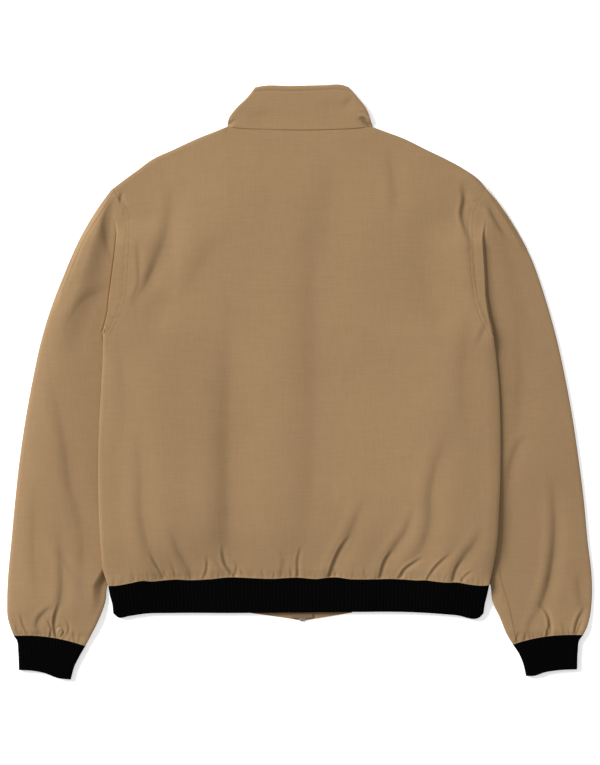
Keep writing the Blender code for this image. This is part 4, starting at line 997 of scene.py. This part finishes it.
def make_cuff(side):
    """One rib knit cuff, a flattened tube."""
    north = shifted(smooth_line(CUFF_SEAM[side]), 0, -SEAM_GAP)
    west, east = smooth_line(CUFF_WEST[side][::-1]), smooth_line(CUFF_EAST[side][::-1])
    surface = cloth_patch(smooth_line(CUFF_EDGE[side]), north, west, east)
    rows = stations(24)
    upper = stations(CUFF_RIBS * 8, HALF_TURN, HALF_TURN)
    lower = stations(CUFF_RIBS * 8, HALF_TURN, HALF_TURN)[::-1]
    x, y, z = flat_tube([(surface, upper, rows, 1, ribbed(CUFF_RIBS, RIB_HEIGHT)),
                         (surface, lower, rows, -1, ribbed(CUFF_RIBS, UNDER_RIB_HEIGHT))], RIB_STACK)
    obj = with_wall(cloth_mesh(f"cuff_{side}_rib", x, y, z, knit, True, skirt=0, closed=True), RIB_WALL)
    sewn_in(obj, "cuff_" + side)


def make_hem_rib():
    """The rib band, from tab to tab round the back."""
    seam, edge = shifted(smooth_line(HEM_SEAM), 0, -SEAM_GAP), smooth_line(HEM_EDGE)
    under_seam = shifted(smooth_line(FRONT_HEM_SEAM), 0, -SEAM_GAP)
    under_edge = smooth_line(FRONT_HEM_EDGE)
    west, east = smooth_line(HEM_SIDE["left"][::-1]), smooth_line(HEM_SIDE["right"][::-1])
    tab_left, tab_right = TAB_EDGE[0][0] - SEAM_GAP, TAB_EDGE[-1][0] + SEAM_GAP
    seam_left, edge_left = between(under_seam, -300, tab_left), between(under_edge, -300, tab_left)
    seam_right, edge_right = between(under_seam, tab_right, 300), between(under_edge, tab_right, 300)
    under_left = cloth_patch(edge_left, seam_left, west,
                             measured(np.array([edge_left[-1, :2], seam_left[-1, :2]])))
    under_right = cloth_patch(edge_right, seam_right,
                              measured(np.array([edge_right[0, :2], seam_right[0, :2]])), east)
    rows = stations(18)
    under_ribs = ribbed(UNDER_HEM_RIBS, UNDER_RIB_HEIGHT)
    parts = [(under_left, stations(200, HALF_TURN, None)[::-1], rows, -1, under_ribs),
             (cloth_patch(edge, seam, west, east), stations(HEM_RIBS * 6, HALF_TURN, HALF_TURN), rows,
              1, ribbed(HEM_RIBS, RIB_HEIGHT)),
             (under_right, stations(200, None, HALF_TURN)[::-1], rows, -1, under_ribs)]
    x, y, z = flat_tube(parts, RIB_STACK)
    z = z + body_lift(x, HEM_CORNER_Y + 0 * x) * rows[:, 0][:, None]
    obj = with_wall(cloth_mesh("hem_rib_band", x, y, z, knit, True, skirt=0), RIB_WALL)
    sewn_in(obj, "hem_rib")


make_hem_rib()
make_cuff("left")
make_cuff("right")


# ---------------------------------------------------------------- hem tabs
# The rib ends short of the zip in two flat tabs of shell cloth, a little deeper than the rib, so
# that their edge shows below it from behind.

TAB_WALL = 2.0


def make_tab(side):
    """One tab of shell cloth at the end of the hem rib."""
    sign = -1 if side == "left" else 1
    low, high = sorted([CENTRE_FRONT + sign * ZIP_GAP, TAB_EDGE[0 if side == "left" else -1][0]])
    south = between(smooth_line(TAB_EDGE), low, high)
    north = between(shifted(smooth_line(FRONT_HEM_SEAM), 0, -SEAM_GAP), low, high)
    surface = cloth_patch(south, north, measured(np.array([south[0, :2], north[0, :2]])),
                          measured(np.array([south[-1, :2], north[-1, :2]])))
    x, y, _ = cloth_grid(surface, stations(60), stations(40))
    from_edge = np.minimum.reduce([x - low, high - x, y - np.interp(x, south[:, 0], south[:, 1])])
    z = 0.5 * np.exp(-(from_edge / 0.9) ** 2) + 0.3 * np.exp(-((from_edge - 3.5) / 0.8) ** 2)
    obj = with_wall(cloth_mesh(f"hem_tab_{side}_cloth", x, y, z, shell, False, skirt=0), TAB_WALL - 0.5)
    sewn_in(obj, "hem_tab_" + side)


make_tab("left")
make_tab("right")


# ---------------------------------------------------------------- zip
# A woven tape on each front with a row of metal teeth, closed by a slider at the collar that
# carries a swinging pull.  It faces the surface the jacket lies on.

TOOTH_PITCH, TOOTH_LENGTH, TOOTH_WIDTH = 2.4, 3.2, 1.3
TOOTH_LOW, TOOTH_HIGH = 1.15, 1.7
CHAIN_BOTTOM, CHAIN_TOP = -321.0, 303.0
BOX_LOW, BOX_HIGH, BOX_HALF = -326.5, -316.5, 3.9


def satin_metal(name, colour, roughness):
    """Plated zip metal with fine rubbed lines."""
    mat, tree, shader = new_material(name)
    along = {"Vector": object_place(tree), "Scale": (4000, 300, 4000)}
    turned = add_node(tree, "Mapping", along).outputs["Vector"]
    rub = add_node(tree, "TexNoise", {"Vector": turned, "Scale": 1.0}).outputs["Fac"]
    level = {"Value": rub, "To Min": roughness - 0.08, "To Max": roughness + 0.12}
    set_inputs(tree, shader, {
        "Metallic": 1.0, "Base Color": (*colour, 1),
        "Roughness": add_node(tree, "MapRange", level).outputs["Result"],
        "Normal": bumped(tree, rub, 0.15, 0.00002)})
    return mat


zip_metal = satin_metal("zip_metal", (0.42, 0.39, 0.34), 0.34)
zip_weave = woven_shell("zip_tape_cloth", (0.21, 0.135, 0.07), (0.17, 0.108, 0.055), 0.0008, 0.3, 0.05)
for side in ("left", "right"):
    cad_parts["zip_tape_" + side].data.materials[0] = zip_weave
for node in ("zip_slider", "zip_pull"):
    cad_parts[node].data.materials[0] = zip_metal


def zip_teeth():
    """Two rows of teeth that interlock along the centre front."""
    verts, faces = [], []
    count = int((CHAIN_TOP - CHAIN_BOTTOM) / TOOTH_PITCH)
    for sign in (-1, 1):
        for i in range(count):
            y = CHAIN_BOTTOM + (i + (0.25 if sign < 0 else 0.75)) * TOOTH_PITCH
            half = TOOTH_WIDTH / 2
            first = len(verts)
            for out, narrow in ((-0.7, 0.55), (0.4, 1.0), (TOOTH_LENGTH - 1.0, 0.7)):
                for dy, z in ((-1, TOOTH_LOW), (1, TOOTH_LOW), (1, TOOTH_HIGH), (-1, TOOTH_HIGH)):
                    bevel = 0.75 if z == TOOTH_LOW else 1.0
                    verts.append(((CENTRE_FRONT + sign * out) * MM, (y + dy * half * narrow * bevel) * MM,
                                  z * MM))
            for ring in (0, 1):
                a = first + 4 * ring
                for k in range(4):
                    face = (a + k, a + (k + 1) % 4, a + 4 + (k + 1) % 4, a + 4 + k)
                    faces.append(face if sign > 0 else face[::-1])
            caps = [(first, first + 3, first + 2, first + 1), tuple(range(first + 8, first + 12))]
            faces += caps if sign > 0 else [cap[::-1] for cap in caps]
    obj = mesh_object("zip_teeth", verts, faces, zip_metal, smooth=False)
    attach(obj, "jacket")


zip_teeth()


def zip_box():
    """The metal box that holds the bottom of the chain."""
    verts, faces = [], []
    for z, inset in ((0.7, 0.7), (1.1, 0.0), (2.5, 0.0), (2.9, 0.7)):
        low, high = BOX_LOW + inset, BOX_HIGH - inset
        for dx, y in ((-1, low), (1, low), (1, high), (-1, high)):
            verts.append(((CENTRE_FRONT + dx * (BOX_HALF - inset)) * MM, y * MM, z * MM))
    for ring in range(3):
        for k in range(4):
            a = 4 * ring
            faces.append((a + k, a + (k + 1) % 4, a + 4 + (k + 1) % 4, a + 4 + k))
    faces += [(3, 2, 1, 0), (12, 13, 14, 15)]
    obj = mesh_object("zip_box", verts, faces, zip_metal, smooth=False)
    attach(obj, "jacket")


zip_box()


# ---------------------------------------------------------------- stitching
# Lockstitch in a thread of the cloth's own colour: two rows beside each armhole, two beside the
# seam over each arm and one along the collar's top edge.

STITCH_PITCH, STITCH_LENGTH, THREAD = 3.0, 2.3, 0.32
THREAD_TONE = (0.30, 0.19, 0.095)
OVERARM_STITCHES = (1.6, 5.2)


def thread_material():
    """Twisted sewing thread, a little paler and darker along its length."""
    mat, tree, shader = new_material("thread")
    twist = add_node(tree, "TexNoise", {"Vector": object_place(tree), "Scale": 900.0}).outputs["Fac"]
    set_inputs(tree, shader, {"Roughness": 0.55, "Base Color": mixed(tree, twist, THREAD_TONE, SHELL_TONE)})
    return mat


thread = thread_material()


def stitch_row(name, line, height, lift):
    """A row of stitches along a line on the cloth; height gives the cloth's z at points."""
    length = np.hypot(*np.diff(line[:, :2], axis=0).T).sum()
    count = int(length / STITCH_PITCH)
    starts = (np.arange(count) + 0.2) * STITCH_PITCH / length
    verts, faces = [], []
    for start in starts:
        shares = start + np.array([0, 0.12, 0.5, 0.88, 1]) * STITCH_LENGTH / length
        points = at_share(line, shares)
        z = height(points[:, 0], points[:, 1]) + lift * np.array([-0.2, 0.12, 0.2, 0.12, -0.2])
        along = points[-1] - points[0]
        across = np.array([-along[1], along[0]]) / np.linalg.norm(along)
        first = len(verts)
        for (px, py), pz in zip(points, z):
            for out, up in ((-1, 0), (0, 1), (1, 0), (0, -1)):
                verts.append(((px + across[0] * out * THREAD) * MM, (py + across[1] * out * THREAD) * MM,
                              (pz + up * THREAD * 0.7) * MM))
        for ring in range(4):
            for k in range(4):
                a = first + 4 * ring
                faces.append((a + k, a + 4 + k, a + 4 + (k + 1) % 4, a + (k + 1) % 4))
        faces.append((first, first + 1, first + 2, first + 3))
        faces.append((first + 19, first + 18, first + 17, first + 16))
    obj = mesh_object(name, verts, faces, thread)
    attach(obj, "jacket")


for side in ("left", "right"):
    sign = -1 if side == "left" else 1
    seam_line = joined(*armhole_lines(side), breaks=(0.85,))
    for number, row in enumerate(ARMHOLE_STITCHES):
        stitch_row(f"armhole_{side}_stitches_{number}", measured(shifted(seam_line, -sign * row, 0)),
                   back_face, 1)
    over = smooth_line(OVERARM_SEAM[side])
    for number, row in enumerate(OVERARM_STITCHES):
        inward = moved(over, row if side == "left" else -row)
        stitch_row(f"overarm_{side}_stitches_{number}", measured(inward), sleeve_height, 1)


def collar_level(x, y):
    return COLLAR_STACK - 0.25 + 0 * x


collar_edge = shifted(smooth_line(COLLAR_TOP), 0, -COLLAR_EDGE_STITCH)
stitch_row("collar_stitches", between(collar_edge, -57, 65), collar_level, 1)


# ---------------------------------------------------------------- surface, light and camera
# The jacket lies on a plain pale surface under a large soft light from the upper left, and is seen
# from straight above.

FRAME_HEIGHT = 765 * 1.37 * MM          # what the picture spans at the jacket's height
CAMERA_HEIGHT = 3.4
LOOK_X, LOOK_Y = 0.0007, 0.0003
SENSOR = 24.0
SURFACE_HALF = 4

surface_mat, surface_tree, surface_shader = new_material("pale_surface")
set_inputs(surface_tree, surface_shader, {
    "Base Color": (0.93, 0.93, 0.93, 1), "Roughness": 0.9, "Specular IOR Level": 0.1,
    "Emission Color": (1, 1, 1, 1), "Emission Strength": 0.45})
surface_corners = [(-SURFACE_HALF, -SURFACE_HALF, 0), (SURFACE_HALF, -SURFACE_HALF, 0),
                   (SURFACE_HALF, SURFACE_HALF, 0), (-SURFACE_HALF, SURFACE_HALF, 0)]
surface_obj = mesh_object("surface", surface_corners, [(0, 1, 2, 3)], surface_mat, smooth=False)
surface_obj.location.z = -0.0002


def soft_light(name, location, size, power):
    """A square soft box aimed at the middle of the jacket."""
    data = bpy.data.lights.new(name, "AREA")
    data.shape = "SQUARE"
    data.size = size
    data.energy = power
    lamp = bpy.data.objects.new(name, data)
    lamp.location = location
    x, y, z = location
    lamp.rotation_euler = (math.atan2(math.hypot(x, y), z), 0, math.atan2(x, -y))
    bpy.context.scene.collection.objects.link(lamp)


soft_light("key", (-7.8, 4.4, 5.2), 4.4, 1640)

world = bpy.data.worlds.new("studio")
world.use_nodes = True
world.node_tree.nodes["Background"].inputs["Color"].default_value = (1, 1, 1, 1)
world.node_tree.nodes["Background"].inputs["Strength"].default_value = 0.42
bpy.context.scene.world = world
bpy.context.scene.view_settings.view_transform = "Standard"

camera_data = bpy.data.cameras.new("camera")
camera_data.type = "PERSP"
camera_data.sensor_fit = "VERTICAL"
camera_data.sensor_height = SENSOR
camera_data.lens = SENSOR * CAMERA_HEIGHT / FRAME_HEIGHT
camera_data.clip_end = 50
camera = bpy.data.objects.new("camera", camera_data)
camera.location = (LOOK_X, LOOK_Y, CAMERA_HEIGHT)
bpy.context.scene.collection.objects.link(camera)
bpy.context.scene.camera = camera
